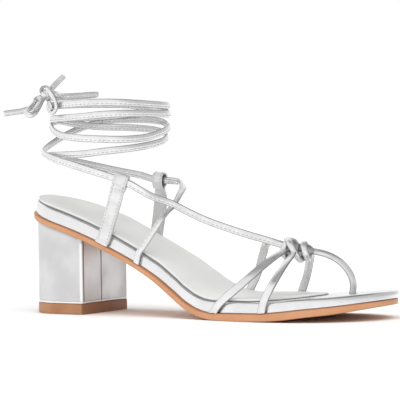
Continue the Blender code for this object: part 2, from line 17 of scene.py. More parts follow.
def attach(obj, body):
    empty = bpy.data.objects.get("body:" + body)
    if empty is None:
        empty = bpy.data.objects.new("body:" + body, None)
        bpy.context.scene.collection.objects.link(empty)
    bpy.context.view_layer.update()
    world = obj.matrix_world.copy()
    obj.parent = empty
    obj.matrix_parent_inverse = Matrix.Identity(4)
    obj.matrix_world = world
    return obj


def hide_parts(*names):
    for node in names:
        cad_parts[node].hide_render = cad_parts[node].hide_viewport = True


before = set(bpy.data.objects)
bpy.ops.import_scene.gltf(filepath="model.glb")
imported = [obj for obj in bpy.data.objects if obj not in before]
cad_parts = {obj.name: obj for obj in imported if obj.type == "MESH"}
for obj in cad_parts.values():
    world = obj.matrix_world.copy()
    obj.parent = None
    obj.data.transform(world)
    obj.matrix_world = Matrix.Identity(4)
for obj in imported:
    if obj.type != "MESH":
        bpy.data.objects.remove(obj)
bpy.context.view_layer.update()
LOG = logging.getLogger("sandal")

MM = 0.001
GAP = 0.3
BODY = "root"
UP = Vector((0.0, 0.0, 1.0))
OUTWARD = Vector((0.0, -1.0, 0.0))
SHARP_CORNER = math.radians(38)
MERGE = 0.001
CORE_SEGMENTS, CORE_RINGS = 28, 18
COAT_ROUGH = 0.2
RELIEF_DEPTH = 0.15
CREASED_GRAIN = 0.4

Colour = tuple[float, float, float]
Ring = list[Vector]
Level = Callable[[float], float]
RingRow = tuple[float, Level, float]


class Side(Enum):
    """Sides of the foot."""

    OUTER = -1
    INNER = 1


class SoleRow(NamedTuple):
    """The sole at one place along its length."""

    x: float
    centre: float
    half: float
    ground: float
    outsole: float
    footbed: float


class Foot(NamedTuple):
    """A strap's foot on the outsole's ledge, and where it leaves the footbed's shoulder."""

    side: Side
    ledge_x: float
    shoulder_x: float


class StripRow(NamedTuple):
    """A point of a strip's middle line; lean turns its face from the side (0) over the top (90)."""

    x: float
    y: float
    z: float
    lean: float


class TurnRow(NamedTuple):
    """A point of a lace around the ankle: 0 at the back, 90 at the outer side, 180 in front."""

    turn: float
    z: float
    reach: float


class CordRow(NamedTuple):
    """A point of a tie end beside the knot: to the right, away from the outer side, and up."""

    right: float
    away: float
    up: float


class Station(NamedTuple):
    """One place on a strip: its middle and the way it faces."""

    spot: Vector
    face: Vector


class KnotTurn(NamedTuple):
    """A turn of strap around a knot: its middle, half sizes, turn and lean in degrees, and its width."""

    middle: Vector
    wide: float
    high: float
    yaw: float
    pitch: float
    width: float


class Section(Enum):
    """Cuts of the sewn strips: stitch rows on the front and on the back, as shares of the half width."""

    LACE = ((-0.34,), (-0.34,))
    STRAP = ((), (-0.34,))
    TAB = ((-0.70, 0.70), ())
    PLAIN = ((), ())


# Middle line, half width, ground side and thickness of both layers, from the heel to the toe.
SOLE = tuple(SoleRow(*row) for row in (
    (-24.5, 0.0, 26.2, 58.4, 3.4, 7.5),
    (0.0, 0.0, 26.4, 51.2, 3.4, 7.5),
    (20.0, -0.2, 26.8, 44.7, 3.3, 7.2),
    (40.0, -1.2, 25.3, 36.5, 3.1, 6.8),
    (55.0, -2.0, 24.8, 29.6, 3.0, 6.5),
    (70.0, -2.8, 25.0, 21.4, 3.2, 6.3),
    (84.0, -3.3, 26.3, 11.9, 3.5, 6.3),
    (92.0, -3.4, 27.8, 6.7, 3.6, 6.4),
    (100.0, -3.2, 29.3, 2.9, 3.7, 6.5),
    (108.0, -2.9, 31.2, 0.8, 3.8, 6.4),
    (115.0, -2.5, 33.0, 0.0, 4.1, 6.3),
    (132.0, -1.1, 36.7, 0.0, 4.5, 6.2),
    (145.0, 0.0, 38.2, 0.3, 4.4, 6.1),
    (158.0, 0.9, 38.4, 1.2, 4.6, 5.9),
    (170.0, 1.9, 38.0, 2.8, 4.4, 5.6),
    (185.0, 3.6, 36.5, 4.5, 4.2, 5.0),
    (208.0, 7.0, 34.0, 8.6, 3.0, 4.2),
))

# Each strap runs from its foot on the sole up to the vamp knot.
VAMP_STRAPS = {
    "vamp_strap_outer_back": (Foot(Side.OUTER, 115.0, 121.0), (
        StripRow(129.0, -35.2, 17.2, 8), StripRow(136.7, -30.6, 24.8, 11),
        StripRow(142.0, -22.5, 31.6, 15), StripRow(144.8, -12.0, 36.4, 22),
        StripRow(146.0, -3.0, 38.8, 40))),
    "vamp_strap_outer_front": (Foot(Side.OUTER, 147.0, 148.6), (
        StripRow(151.4, -37.2, 17.2, 8), StripRow(153.6, -32.5, 24.0, 11),
        StripRow(153.6, -22.0, 30.8, 16), StripRow(152.0, -10.0, 35.6, 24),
        StripRow(149.0, -2.0, 38.0, 42))),
    "vamp_strap_inner_back": (Foot(Side.INNER, 101.5, 104.5), (
        StripRow(109.0, 28.6, 22.0, 165), StripRow(112.6, 26.7, 29.6, 160),
        StripRow(115.4, 25.0, 35.2, 152), StripRow(118.4, 22.0, 39.4, 138),
        StripRow(122.8, 17.4, 41.7, 120), StripRow(128.6, 12.2, 42.2, 106),
        StripRow(135.4, 7.4, 41.4, 98), StripRow(142.0, 3.5, 39.6, 92))),
    "vamp_strap_inner_front": (Foot(Side.INNER, 133.5, 134.5), (
        StripRow(138.6, 34.6, 20.6, 165), StripRow(144.6, 26.4, 28.6, 140),
        StripRow(150.6, 16.0, 34.4, 118), StripRow(154.0, 5.0, 37.2, 98))),
}
TOE_STRAP = (
    StripRow(178.9, 11.0, 9.0, 0), StripRow(179.6, 10.6, 13.6, 2), StripRow(180.4, 10.0, 19.0, 4),
    StripRow(178.9, 9.0, 25.0, 10), StripRow(174.2, 7.4, 31.2, 16), StripRow(167.2, 5.6, 35.4, 20),
    StripRow(158.5, 3.6, 37.6, 26), StripRow(151.0, 2.0, 38.2, 34),
)
TOE_AIM = Vector((0.68, -0.73, 0.0)).normalized()
VAMP_TURNS = {
    "vamp_knot_turn_back": KnotTurn(Vector((145.4, 0.6, 38.8)), 4.5, 5.3, 24, 14, 4.4),
    "vamp_knot_turn_front": KnotTurn(Vector((154.6, 2.6, 37.6)), 4.0, 4.6, -18, -16, 4.2),
}
# Places and faces of the strap that crosses between the two turns.
VAMP_TUCK = (
    ((143.4, 2.0, 44.2), (0.1, 0.2, 1.0)), ((146.6, -3.2, 43.6), (0.1, -0.5, 0.9)),
    ((150.2, -6.4, 40.6), (0.1, -1.0, 0.3)), ((152.6, -5.6, 35.6), (0.1, -0.9, -0.4)),
    ((153.4, -1.6, 32.6), (0.1, -0.3, -1.0)), ((152.0, 3.0, 33.2), (0.1, 0.4, -1.0)),
)
# Middle and half sizes of each core; the cores are darker silver, painted shade that shows in the gaps
# between the knot's turns.
VAMP_CORES = {
    "vamp_knot_core_back": ((146.4, 0.8, 38.9), (6.0, 4.3, 5.3)),
    "vamp_knot_core_front": ((153.8, 2.4, 37.8), (6.0, 3.5, 4.1)),
}
# The long lace starts at the vamp knot and the side lace at the sole, and both end in a tab's loop.
LONG_LACE = (
    StripRow(143.5, 0.8, 40.6, 30), StripRow(137.6, 0.6, 42.0, 24), StripRow(130.0, -0.6, 44.2, 18),
    StripRow(121.4, -2.2, 46.6, 16), StripRow(110.0, -4.4, 50.2, 16), StripRow(98.2, -6.8, 54.3, 16),
    StripRow(86.8, -9.2, 59.3, 17), StripRow(75.4, -12.6, 65.3, 18), StripRow(65.4, -19.4, 70.0, 18),
)
SIDE_FOOT = Foot(Side.OUTER, 59.6, 61.6)
SIDE_LACE = (
    StripRow(65.6, -27.2, 41.7, 10), StripRow(71.6, -23.6, 52.0, 20), StripRow(74.6, -18.4, 59.4, 30),
    StripRow(75.4, -11.5, 63.4, 42), StripRow(73.2, 0.0, 69.8, 75), StripRow(69.2, 11.5, 74.6, 120),
    StripRow(62.0, 20.0, 77.4, 155), StripRow(53.5, 24.8, 78.4, 170),
)
# Each ankle lace starts at its tab's loop and winds upward, one each way.
OUTER_TURNS = tuple(TurnRow(*row) for row in (
    (103, 85.2, 5.0), (84, 89.2, 5.0), (59, 93.4, 5.2), (42, 95.8, 4.7),
    (26, 97.6, 4.4), (9, 100.6, 3.8), (-8, 104.6, 3.6), (-27, 109.8, 3.0),
    (-44, 113.7, 3.0), (-59, 116.0, 3.0), (-74, 116.5, 3.0),
    (-95, 116.2, 2.6), (-122, 114.5, 1.9), (-138, 112.1, 1.5),
    (-156, 110.0, 1.2), (-173, 108.3, 1.2), (-186, 106.4, 1.2),
    (-200, 104.5, 1.2), (-214, 103.4, 1.2), (-231, 103.0, 1.2),
    (-249, 103.4, 1.2), (-269, 104.2, 1.2), (-291, 106.0, 0.9),
    (-308, 108.8, 0.2), (-325, 111.6, -0.8), (-342, 114.0, -0.8),
    (-362, 116.2, 0.0), (-385, 117.4, 0.7), (-408, 118.2, 0.7),
    (-430, 119.2, 0.7), (-452, 120.5, 0.7), (-480, 121.8, 0.8),
    (-508, 123.0, 1.2), (-543, 123.2, 1.2), (-570, 123.8, 1.2),
    (-590, 124.5, 1.2), (-609, 124.8, 1.2), (-629, 124.6, 1.2),
    (-657, 124.2, 1.0), (-690, 123.9, 0.8),
))
INNER_TURNS = tuple(TurnRow(*row) for row in (
    (-94, 82.1, 1.0), (-72, 84.8, 1.0), (-52, 87.7, 1.0), (-31, 90.6, 1.0),
    (-5, 93.3, 1.2), (18, 94.5, 1.4), (40, 94.7, 0.8), (63, 94.6, 0.0),
    (90, 94.8, 0.0), (110, 96.0, 0.0), (130, 97.2, 0.0), (150, 98.6, 0.0),
    (179, 101.4, 0.0), (205, 104.4, 0.0), (221, 107.0, 0.0),
    (250, 109.9, 0.0), (276, 111.4, 0.0), (297, 112.0, 0.0),
    (312, 112.5, 0.0), (329, 113.8, -0.3), (348, 115.2, -0.3),
    (372, 116.2, -0.3), (395, 116.4, -0.2), (420, 116.3, 0.0),
    (450, 116.7, 0.0), (470, 117.6, 0.0), (490, 118.1, 0.0),
    (511, 118.2, 0.3), (540, 118.1, 1.2), (567, 118.3, 1.6),
    (595, 120.0, 0.4), (630, 124.8, -0.3), (660, 126.0, -0.3),
    (690, 126.0, -0.3), (720, 125.2, -0.3), (762, 124.2, -0.3),
))
TIE_ENDS = {
    "tie_end_up": (
        CordRow(2.4, 6.5, 4.6), CordRow(4.3, 13.0, 7.4), CordRow(6.1, 19.5, 10.0),
        CordRow(7.8, 26.0, 12.4)),
    "tie_end_back": (
        CordRow(-3.6, 4.2, -2.6), CordRow(-10.0, 5.4, -7.2), CordRow(-15.6, 4.4, -9.2),
        CordRow(-21.0, 3.4, -10.0), CordRow(-26.4, 2.4, -10.8)),
    "tie_loop_low": (
        CordRow(-4.6, -1.2, -2.0), CordRow(-8.4, -7.0, -6.2), CordRow(-10.8, -12.4, -9.6),
        CordRow(-10.9, -15.8, -11.6), CordRow(-8.6, -17.0, -12.5), CordRow(-6.2, -15.4, -11.0),
        CordRow(-4.2, -11.6, -7.4), CordRow(-2.8, -6.5, -3.2)),
}
# Way that each lace of the bow faces; None stands it on edge along its course.
TIE_FACES = {
    "tie_end_up": (0.53, -0.48, 0.70), "tie_end_back": (0.0, -1.0, 0.15), "tie_loop_low": (-0.3, -0.9, 0.0),
    "tie_loop_high": None,
}
# Shift from the knot's middle, and the two half axes of each turn.
TIE_TURNS = {
    "tie_knot_turn_high": ((-1.3, -0.6, 2.4), (0.85, -0.5, 0.15), (-0.2, 0.0, 0.98)),
    "tie_knot_turn_low": ((-0.9, -0.4, -0.8), (0.1, 1.0, 0.0), (0.66, 0.0, -0.75)),
}
TIE_LOOP_ENDS = (CordRow(-1.6, 6.5, 2.0), CordRow(4.6, 6.0, 0.8))
TIE_LOOP = tuple(TurnRow(*row) for row in (
    (6, 130.0, 3.4), (-14, 130.4, 3.0), (-32, 131.1, 2.4),
    (-46, 131.8, 1.2), (-51, 132.2, -1.6), (-43, 132.0, -4.0),
    (-24, 131.4, -3.8), (-4, 131.0, -2.8),
))
TIE_CURL = tuple(TurnRow(*row) for row in (
    (47.5, 134.2, 3.3), (57.0, 131.7, 3.5), (63.0, 128.5, 3.6),
    (66.0, 125.2, 3.6), (65.2, 121.9, 3.4), (59.5, 120.2, 3.2),
    (53.0, 121.2, 3.4), (51.6, 123.6, 3.8), (55.6, 125.4, 4.2),
    (60.0, 124.6, 4.6), (60.6, 122.8, 4.6), (57.4, 122.2, 4.6),
))


class NodeBench:
    """Short ways to lay shader nodes in one node tree."""

    def __init__(self, tree: bpy.types.NodeTree) -> None:
        """Keeps the tree that the nodes go into."""
        self.tree = tree

    def node(self, kind: str, **settings: object) -> bpy.types.Node:
        """Adds a node.

        Args:
            kind: Blender's type name of the node.
            **settings: Properties to set on it.

        Returns:
            The new node.
        """
        made = self.tree.nodes.new(kind)
        for name, value in settings.items():
            setattr(made, name, value)
        return made

    def link(self, start: bpy.types.NodeSocket, end: bpy.types.NodeSocket) -> None:
        """Joins an output to an input."""
        self.tree.links.new(start, end)

    def math(self, operation: str, first: object, second: object) -> bpy.types.NodeSocket:
        """Works out one value from two.

        Args:
            operation: Name of the Math node's operation.
            first: A socket or a number.
            second: A socket or a number.

        Returns:
            The socket with the value.
        """
        made = self.node("ShaderNodeMath", operation=operation)
        for socket, value in zip(made.inputs, (first, second)):
            if isinstance(value, bpy.types.NodeSocket):
                self.link(value, socket)
            else:
                socket.default_value = value
        return made.outputs[0]

    def span(self, value: bpy.types.NodeSocket, low: float, high: float, start: float,
             end: float) -> bpy.types.NodeSocket:
        """Maps a value smoothly from one range to another.

        Args:
            value: Socket to map.
            low: Value that becomes start.
            high: Value that becomes end.
            start: First end of the new range.
            end: Second end of the new range.

        Returns:
            The socket with the mapped value.
        """
        made = self.node("ShaderNodeMapRange", interpolation_type="SMOOTHSTEP")
        for name, number in (("From Min", low), ("From Max", high), ("To Min", start), ("To Max", end)):
            made.inputs[name].default_value = number
        self.link(value, made.inputs["Value"])
        return made.outputs["Result"]

    def mix(self, share: bpy.types.NodeSocket, first: object, second: object) -> bpy.types.NodeSocket:
        """Mixes two colours.

        Args:
            share: Socket with the second colour's share.
            first: A colour or a socket.
            second: A colour or a socket.

        Returns:
            The socket with the mixed colour.
        """
        made = self.node("ShaderNodeMix", data_type="RGBA")
        self.link(share, made.inputs[0])
        for socket, value in ((made.inputs[6], first), (made.inputs[7], second)):
            if isinstance(value, bpy.types.NodeSocket):
                self.link(value, socket)
            else:
                socket.default_value = (*value, 1.0)
        return made.outputs[2]

    def group(self, tree: bpy.types.NodeTree, **values: float) -> bpy.types.Node:
        """Places a shared effect.

        Args:
            tree: The effect's node group.
            **values: Numbers for its named inputs.

        Returns:
            The group node.
        """
        made = self.node("ShaderNodeGroup")
        made.node_tree = tree
        for name, value in values.items():
            made.inputs[name].default_value = value
        return made


class Effects:
    """Shader effects that several finishes share, each built once."""

    PORE_SCALE = 0.4
    PORE_DETAIL = 3.0
    PEBBLE = (0.1, 0.75)
    PEBBLE_SHARE = 0.55
    PATCH_DETAIL = 2.0
    PATCH = (0.32, 0.68)
    FOLD_EDGE = (0.72, 1.0)
    FOLD_BACK = (-0.4, -0.8)
    CREASE_DETAIL = 4.0
    MARKED = (0.2, 0.9)

    def __init__(self) -> None:
        """Builds the node groups."""
        self.grain = self.make_grain()
        self.wash = self.make_wash()
        self.fold = self.make_fold()
        self.painted_mark = self.make_painted_marks()

    @staticmethod
    def start(name: str, inputs: Sequence[str], outputs: Sequence[str]) -> tuple[NodeBench, dict, dict]:
        """Opens a node group with float sockets.

        Args:
            name: Name of the group.
            inputs: Names of its inputs.
            outputs: Names of its outputs.

        Returns:
            The bench of the group, its input sockets and its output sockets by name.
        """
        tree = bpy.data.node_groups.new(name, "ShaderNodeTree")
        for socket in inputs:
            tree.interface.new_socket(socket, in_out="INPUT", socket_type="NodeSocketFloat")
        for socket in outputs:
            tree.interface.new_socket(socket, in_out="OUTPUT", socket_type="NodeSocketFloat")
        bench = NodeBench(tree)
        source = bench.node("NodeGroupInput")
        target = bench.node("NodeGroupOutput")
        return (bench, {socket: source.outputs[socket] for socket in inputs},
                {socket: target.inputs[socket] for socket in outputs})

    def make_grain(self) -> bpy.types.NodeTree:
        """Makes pebbled leather grain: its height, and a mask of the valleys between the pebbles.

        Returns:
            The node group.
        """
        bench, given, out = self.start("leather_grain", ("Cells",), ("Height", "Valley"))
        place = bench.node("ShaderNodeTexCoord").outputs["Object"]
        pebble = bench.node("ShaderNodeTexVoronoi", feature="SMOOTH_F1")
        pore = bench.node("ShaderNodeTexNoise")
        pore.inputs["Detail"].default_value = self.PORE_DETAIL
        bench.link(place, pebble.inputs["Vector"])
        bench.link(place, pore.inputs["Vector"])
        bench.link(given["Cells"], pebble.inputs["Scale"])
        bench.link(bench.math("MULTIPLY", given["Cells"], self.PORE_SCALE), pore.inputs["Scale"])
        dome = bench.span(pebble.outputs["Distance"], *self.PEBBLE, 1.0, 0.0)
        pores = bench.math("MULTIPLY", pore.outputs["Fac"], 1.0 - self.PEBBLE_SHARE)
        bench.link(bench.math("ADD", bench.math("MULTIPLY", dome, self.PEBBLE_SHARE), pores), out["Height"])
        bench.link(bench.math("SUBTRACT", 1.0, dome), out["Valley"])
        return bench.tree

    def make_wash(self) -> bpy.types.NodeTree:
        """Makes soft patches where leather is handled or stretched over its last.

        Returns:
            The node group.
        """
        bench, given, out = self.start("handled_wash", ("Patches",), ("Tone",))
        place = bench.node("ShaderNodeTexCoord").outputs["Object"]
        patch = bench.node("ShaderNodeTexNoise")
        patch.inputs["Detail"].default_value = self.PATCH_DETAIL
        bench.link(place, patch.inputs["Vector"])
        bench.link(given["Patches"], patch.inputs["Scale"])
        bench.link(bench.span(patch.outputs["Fac"], *self.PATCH, 0.0, 1.0), out["Tone"])
        return bench.tree

    def make_fold(self) -> bpy.types.NodeTree:
        """Makes a folded strip's masks of its rounded edges, where shade is painted, and of its back, and
        the height of the creases across it.

        Returns:
            The node group.
        """
        bench, given, out = self.start("folded_strip", ("Creases",), ("Edge", "Back", "Height"))
        across, outward, run = (bench.node("ShaderNodeAttribute", attribute_name=name).outputs["Fac"]
                                for name in ("across", "outward", "run"))
        bench.link(bench.span(bench.math("ABSOLUTE", across, 0.0), *self.FOLD_EDGE, 0.0, 1.0), out["Edge"])
        bench.link(bench.span(outward, *self.FOLD_BACK, 0.0, 1.0), out["Back"])
        line = bench.node("ShaderNodeCombineXYZ")
        bench.link(bench.math("MULTIPLY", run, given["Creases"]), line.inputs["X"])
        bench.link(across, line.inputs["Y"])
        bench.link(outward, line.inputs["Z"])
        crease = bench.node("ShaderNodeTexNoise")
        crease.inputs["Scale"].default_value = 1.0
        crease.inputs["Detail"].default_value = self.CREASE_DETAIL
        bench.link(line.outputs["Vector"], crease.inputs["Vector"])
        bench.link(crease.outputs["Fac"], out["Height"])
        return bench.tree

    def make_painted_marks(self) -> bpy.types.NodeTree:
        """Makes masks from a piece's signed marks: painted highlight where a mark is positive, dark seams
        and painted shade where it is negative.

        Returns:
            The node group.
        """
        bench, _, out = self.start("highlight_shade_seam", (), ("Edge", "Seam"))
        painted_mark = bench.node("ShaderNodeAttribute", attribute_name="painted_mark").outputs["Fac"]
        low, high = self.MARKED
        bench.link(bench.span(painted_mark, low, high, 0.0, 1.0), out["Edge"])
        bench.link(bench.span(painted_mark, -low, -high, 0.0, 1.0), out["Seam"])
        return bench.tree


@dataclass(frozen=True)
class Leather:
    """A leather or rubber finish: two tones, gloss, grain, the fold of a sewn strip with painted shade on
    its edges, and painted highlights, painted shade and seams on marked edges.
    """

    name: str
    slot: str
    tone: Colour
    shade: Colour
    metallic: float
    rough: tuple[float, float]
    cells: float
    bump: float
    patches: float = 60.0
    valley: float = 0.15
    coat: float = 0.0
    # Colour painted as shade on a strip's rounded edges; the back's colour is the strip's own reverse side.
    edge: Colour | None = None
    back: Colour | None = None
    creases: float = 0.0
    # Colour of painted highlights on marked edges, then the colour of dark seams and of painted shade.
    painted_mark: Colour | None = None
    seam: Colour | None = None

    def make(self, effects: Effects) -> bpy.types.Material:
        """Builds the material.

        Args:
            effects: The shared node groups.

        Returns:
            The new material.
        """
        material = bpy.data.materials.new(self.name)
        material.use_nodes = True
        material.diffuse_color = (*self.tone, 1.0)
        bench = NodeBench(material.node_tree)
        shader = material.node_tree.nodes["Principled BSDF"]
        shader.inputs["Metallic"].default_value = self.metallic
        shader.inputs["Coat Weight"].default_value = self.coat
        shader.inputs["Coat Roughness"].default_value = COAT_ROUGH
        grain = bench.group(effects.grain, Cells=self.cells)
        wash = bench.group(effects.wash, Patches=self.patches)
        worn = bench.math("ADD", bench.math("MULTIPLY", wash.outputs["Tone"], 1.0 - self.valley),
                          bench.math("MULTIPLY", grain.outputs["Valley"], self.valley))
        colour = bench.mix(worn, self.tone, self.shade)
        height = grain.outputs["Height"]
        # Painted shade on the strip's rounded edges, then the back's own colour and the creases' relief.
        if self.edge and self.back:
            fold = bench.group(effects.fold, Creases=self.creases)
            colour = bench.mix(fold.outputs["Edge"], colour, self.edge)
            colour = bench.mix(fold.outputs["Back"], colour, self.back)
            grained = bench.math("MULTIPLY", height, CREASED_GRAIN)
            height = bench.math("ADD", grained, fold.outputs["Height"])
        # Painted highlight where a piece's marks are positive; dark seams and painted shade where they are
        # negative.
        if self.painted_mark and self.seam:
            masks = bench.group(effects.painted_mark)
            colour = bench.mix(masks.outputs["Edge"], colour, self.painted_mark)
            colour = bench.mix(masks.outputs["Seam"], colour, self.seam)
        bench.link(colour, shader.inputs["Base Color"])
        bench.link(bench.span(worn, 0.0, 1.0, *self.rough), shader.inputs["Roughness"])
        relief = bench.node("ShaderNodeBump")
        relief.inputs["Strength"].default_value = self.bump
        relief.inputs["Distance"].default_value = RELIEF_DEPTH * MM
        bench.link(height, relief.inputs["Height"])
        bench.link(relief.outputs["Normal"], shader.inputs["Normal"])
        return material


SILVER = Leather("silver_leather", "silver_leather", (0.85, 0.85, 0.86), (0.79, 0.79, 0.80), 0.9,
                 (0.18, 0.26), 1500.0, 0.1, coat=0.1)
# Heel wrap: a painted highlight colour for its edges, one dark colour for its seam and for painted shadow,
# and a second tone tinted faintly mauve as a painted reflection of the tan outsole.
SILVER_HEEL = Leather("silver_heel", "silver_leather", (0.71, 0.71, 0.72), (0.62, 0.615, 0.62), 0.75,
                      (0.32, 0.46), 1500.0, 0.16, patches=52.0, coat=0.1, painted_mark=(0.95, 0.95, 0.96),
                      seam=(0.13, 0.105, 0.10))
# The edge colours of the lace, strap, tie and tab finishes are painted shade on the strips' rounded edges.
SILVER_LACE = Leather("silver_lace", "silver_lace", (0.86, 0.86, 0.865), (0.79, 0.79, 0.80), 0.88,
                      (0.20, 0.30), 1800.0, 0.2, patches=140.0, edge=(0.42, 0.42, 0.425),
                      back=(0.72, 0.72, 0.72), creases=0.55)
SILVER_STRAP = replace(SILVER_LACE, name="silver_strap", rough=(0.25, 0.35), edge=(0.30, 0.30, 0.305))
# Darker silver for the vamp knot's cores: painted shade in the gaps between the turns.
SILVER_KNOT_SHADE = replace(SILVER_STRAP, name="silver_knot_shade", tone=(0.52, 0.52, 0.525), shade=(0.42, 0.42, 0.425))
SILVER_TIE = replace(SILVER_LACE, name="silver_tie", rough=(0.24, 0.34), edge=(0.36, 0.36, 0.365))
SILVER_TAB = Leather("silver_tab", "silver_leather", (0.83, 0.825, 0.825), (0.70, 0.695, 0.695), 0.7,
                     (0.30, 0.42), 1500.0, 0.2, patches=140.0, edge=(0.64, 0.64, 0.645),
                     back=(0.62, 0.62, 0.61), creases=0.3)
GREY_LINING = Leather("grey_lining", "grey_sock", (0.55, 0.55, 0.54), (0.49, 0.49, 0.48), 0.0,
                      (0.55, 0.7), 1200.0, 0.25, patches=90.0)
# Sock: no seam; its marked colours are a painted highlight on its edge, and painted shadow under that edge
# and in the pressed line.
SOCK_GREY = Leather("grey_sock", "grey_sock", (0.70, 0.70, 0.685), (0.66, 0.66, 0.645), 0.0,
                    (0.5, 0.62), 900.0, 0.2, patches=35.0, painted_mark=(0.76, 0.76, 0.75),
                    seam=(0.16, 0.16, 0.16))
# Outsole: no seam; its dark marked colour is painted shade along its bottom and top edges.
TAN = Leather("tan_sole", "tan_sole", (0.66, 0.325, 0.165), (0.60, 0.285, 0.135), 0.0,
              (0.38, 0.52), 700.0, 0.1, patches=45.0, valley=0.1, painted_mark=(0.66, 0.325, 0.165),
              seam=(0.40, 0.17, 0.075))
# Top lift: its dark marked colour is painted shade on the front face; the lift has no seam.
LIFT_TAN = Leather("brown_lift", "brown_lift", (0.45, 0.215, 0.10), (0.37, 0.165, 0.07), 0.0,
                   (0.42, 0.55), 800.0, 0.15, patches=70.0, painted_mark=(0.45, 0.215, 0.10),
                   seam=(0.27, 0.115, 0.05))
THREAD = Leather("grey_thread", "silver_lace", (0.54, 0.54, 0.545), (0.44, 0.44, 0.445), 0.1,
                 (0.5, 0.65), 4000.0, 0.3, patches=900.0)


class Wardrobe:
    """Makes each finish once and gives it to the pieces."""

    def __init__(self) -> None:
        """Builds the shared effects."""
        self.effects = Effects()
        self.made: dict[str, bpy.types.Material] = {}

    def dress(self, piece: bpy.types.Object, finish: Leather, *nodes: str) -> bpy.types.Object:
        """Gives a piece its finish and its place in the frame.

        Args:
            piece: The finished object.
            finish: Its leather.
            *nodes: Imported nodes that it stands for.

        Returns:
            The piece.
        """
        if finish.name not in self.made:
            self.made[finish.name] = finish.make(self.effects)
        piece.data.materials.clear()
        piece.data.materials.append(self.made[finish.name])
        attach(piece, BODY)
        if nodes:
            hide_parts(*nodes)
        LOG.info("%s: %d faces", piece.name, len(piece.data.polygons))
        return piece


def add_piece(name: str, bm: bmesh.types.BMesh) -> bpy.types.Object:
    """Makes an object from a bmesh in metres.

    Args:
        name: Name of the piece.
        bm: Its mesh, which is freed.

    Returns:
        The object, smooth but for its sharp corners.
    """
    bmesh.ops.recalc_face_normals(bm, faces=bm.faces)
    mesh = bpy.data.meshes.new(name)
    bm.to_mesh(mesh)
    bm.free()
    mesh.shade_smooth()
    mesh.set_sharp_from_angle(angle=SHARP_CORNER)
    piece = bpy.data.objects.new(name, mesh)
    bpy.context.scene.collection.objects.link(piece)
    return piece


def add_core(name: str, middle: Vector, sizes: Vector) -> bpy.types.Object:
    """Makes the rounded core that a knot's turns lie on.

    Args:
        name: Name of the piece.
        middle: Its middle.
        sizes: Its half sizes.

    Returns:
        The object.
    """
    bm = bmesh.new()
    bmesh.ops.create_uvsphere(bm, u_segments=CORE_SEGMENTS, v_segments=CORE_RINGS, radius=1.0)
    bmesh.ops.scale(bm, vec=sizes * MM, verts=bm.verts)
    bmesh.ops.translate(bm, vec=middle * MM, verts=bm.verts)
    return add_piece(name, bm)


def quarter_turn(steps: int) -> list[float]:
    """Even angles of a quarter turn, with both its ends."""
    return [0.5 * math.pi * i / steps for i in range(steps + 1)]


def loft(rings: Sequence[Ring], marks: dict[str, Sequence[Sequence[float]]] | None = None,
         closed: bool = False, weld: bool = False) -> bmesh.types.BMesh:
    """Extrudes a ring of edges from each ring of points to the next.

    Args:
        rings: Rings of as many points each, in millimetres.
        marks: Vertex attributes by name, one row of values for each ring.
        closed: Whether the last ring joins the first.
        weld: Whether end rings that fold onto a line are merged, in place of flat ends.

    Returns:
        The mesh, in metres.
    """
    bm = bmesh.new()
    place = bm.verts.layers.int.new("place")
    layers = {name: bm.verts.layers.float.new(name) for name in marks or {}}

    def settle(verts: Sequence[bmesh.types.BMVert], step: int) -> None:
        """Puts a ring's vertices in place and marks them.

        Args:
            verts: The ring's vertices.
            step: Number of the ring.
        """
        for vert in verts:
            vert.co = rings[step][vert[place]] * MM
            for name, layer in layers.items():
                vert[layer] = marks[name][step][vert[place]]

    verts = [bm.verts.new() for _ in rings[0]]
    for i, vert in enumerate(verts):
        vert[place] = i
    first = [bm.edges.new((verts[i - 1], verts[i])) for i in range(len(verts))]
    settle(verts, 0)
    edges = first
    for step in range(1, len(rings)):
        grown = bmesh.ops.extrude_edge_only(bm, edges=edges)["geom"]
        settle([item for item in grown if isinstance(item, bmesh.types.BMVert)], step)
        edges = [item for item in grown if isinstance(item, bmesh.types.BMEdge)]
    if closed:
        bmesh.ops.bridge_loops(bm, edges=first + edges)
    elif weld:
        bmesh.ops.remove_doubles(bm, verts=bm.verts, dist=MERGE * MM)
    else:
        bmesh.ops.contextual_create(bm, geom=first)
        bmesh.ops.contextual_create(bm, geom=edges)
    return bm


def smooth_path(points: Sequence[Vector], step: float,
                measure: Callable[[Vector], float] = lambda move: move.xyz.length) -> list[Vector]:
    """Lays a smooth curve through vectors of any number of axes.

    Args:
        points: Vectors that the curve goes through.
        step: About how far apart the vectors of the curve are.
        measure: Length of a move; by default a vector's first three axes are a place.

    Returns:
        The curve's vectors, with the given ones among them.
    """
    ends = [2 * points[0] - points[1], *points, 2 * points[-1] - points[-2]]
    spots = []
    for before, here, there, after in zip(ends, ends[1:], ends[2:], ends[3:]):
        count = max(1, round(measure(there - here) / step))
        for t in (i / count for i in range(count)):
            spots.append(0.5 * (2 * here + (there - before) * t
                                + (2 * before - 5 * here + 4 * there - after) * t ** 2
                                + (3 * here - before - 3 * there + after) * t ** 3))
    return spots + [points[-1]]


def path_through(rows: Sequence[Station], step: float) -> list[Station]:
    """Lays a smooth strip path through stations.

    Args:
        rows: Stations that the path goes through.
        step: About how far apart the new stations are.

    Returns:
        The path's stations.
    """
    line = smooth_path([Vector((*row.spot, *row.face)) for row in rows], step)
    return [Station(Vector(point[:3]), Vector(point[3:]).normalized()) for point in line]


def lean_rows(rows: Sequence[StripRow], aim: Vector = OUTWARD) -> list[Station]:
    """Stations of rows that lean from a side to the top.

    Args:
        rows: Rows of a strip's middle line.
        aim: Where the strip faces at a lean of 0.

    Returns:
        The stations.
    """
    turns = [math.radians(row.lean) for row in rows]
    return [Station(Vector((row.x, row.y, row.z)), aim * math.cos(turn) + UP * math.sin(turn))
            for row, turn in zip(rows, turns)]


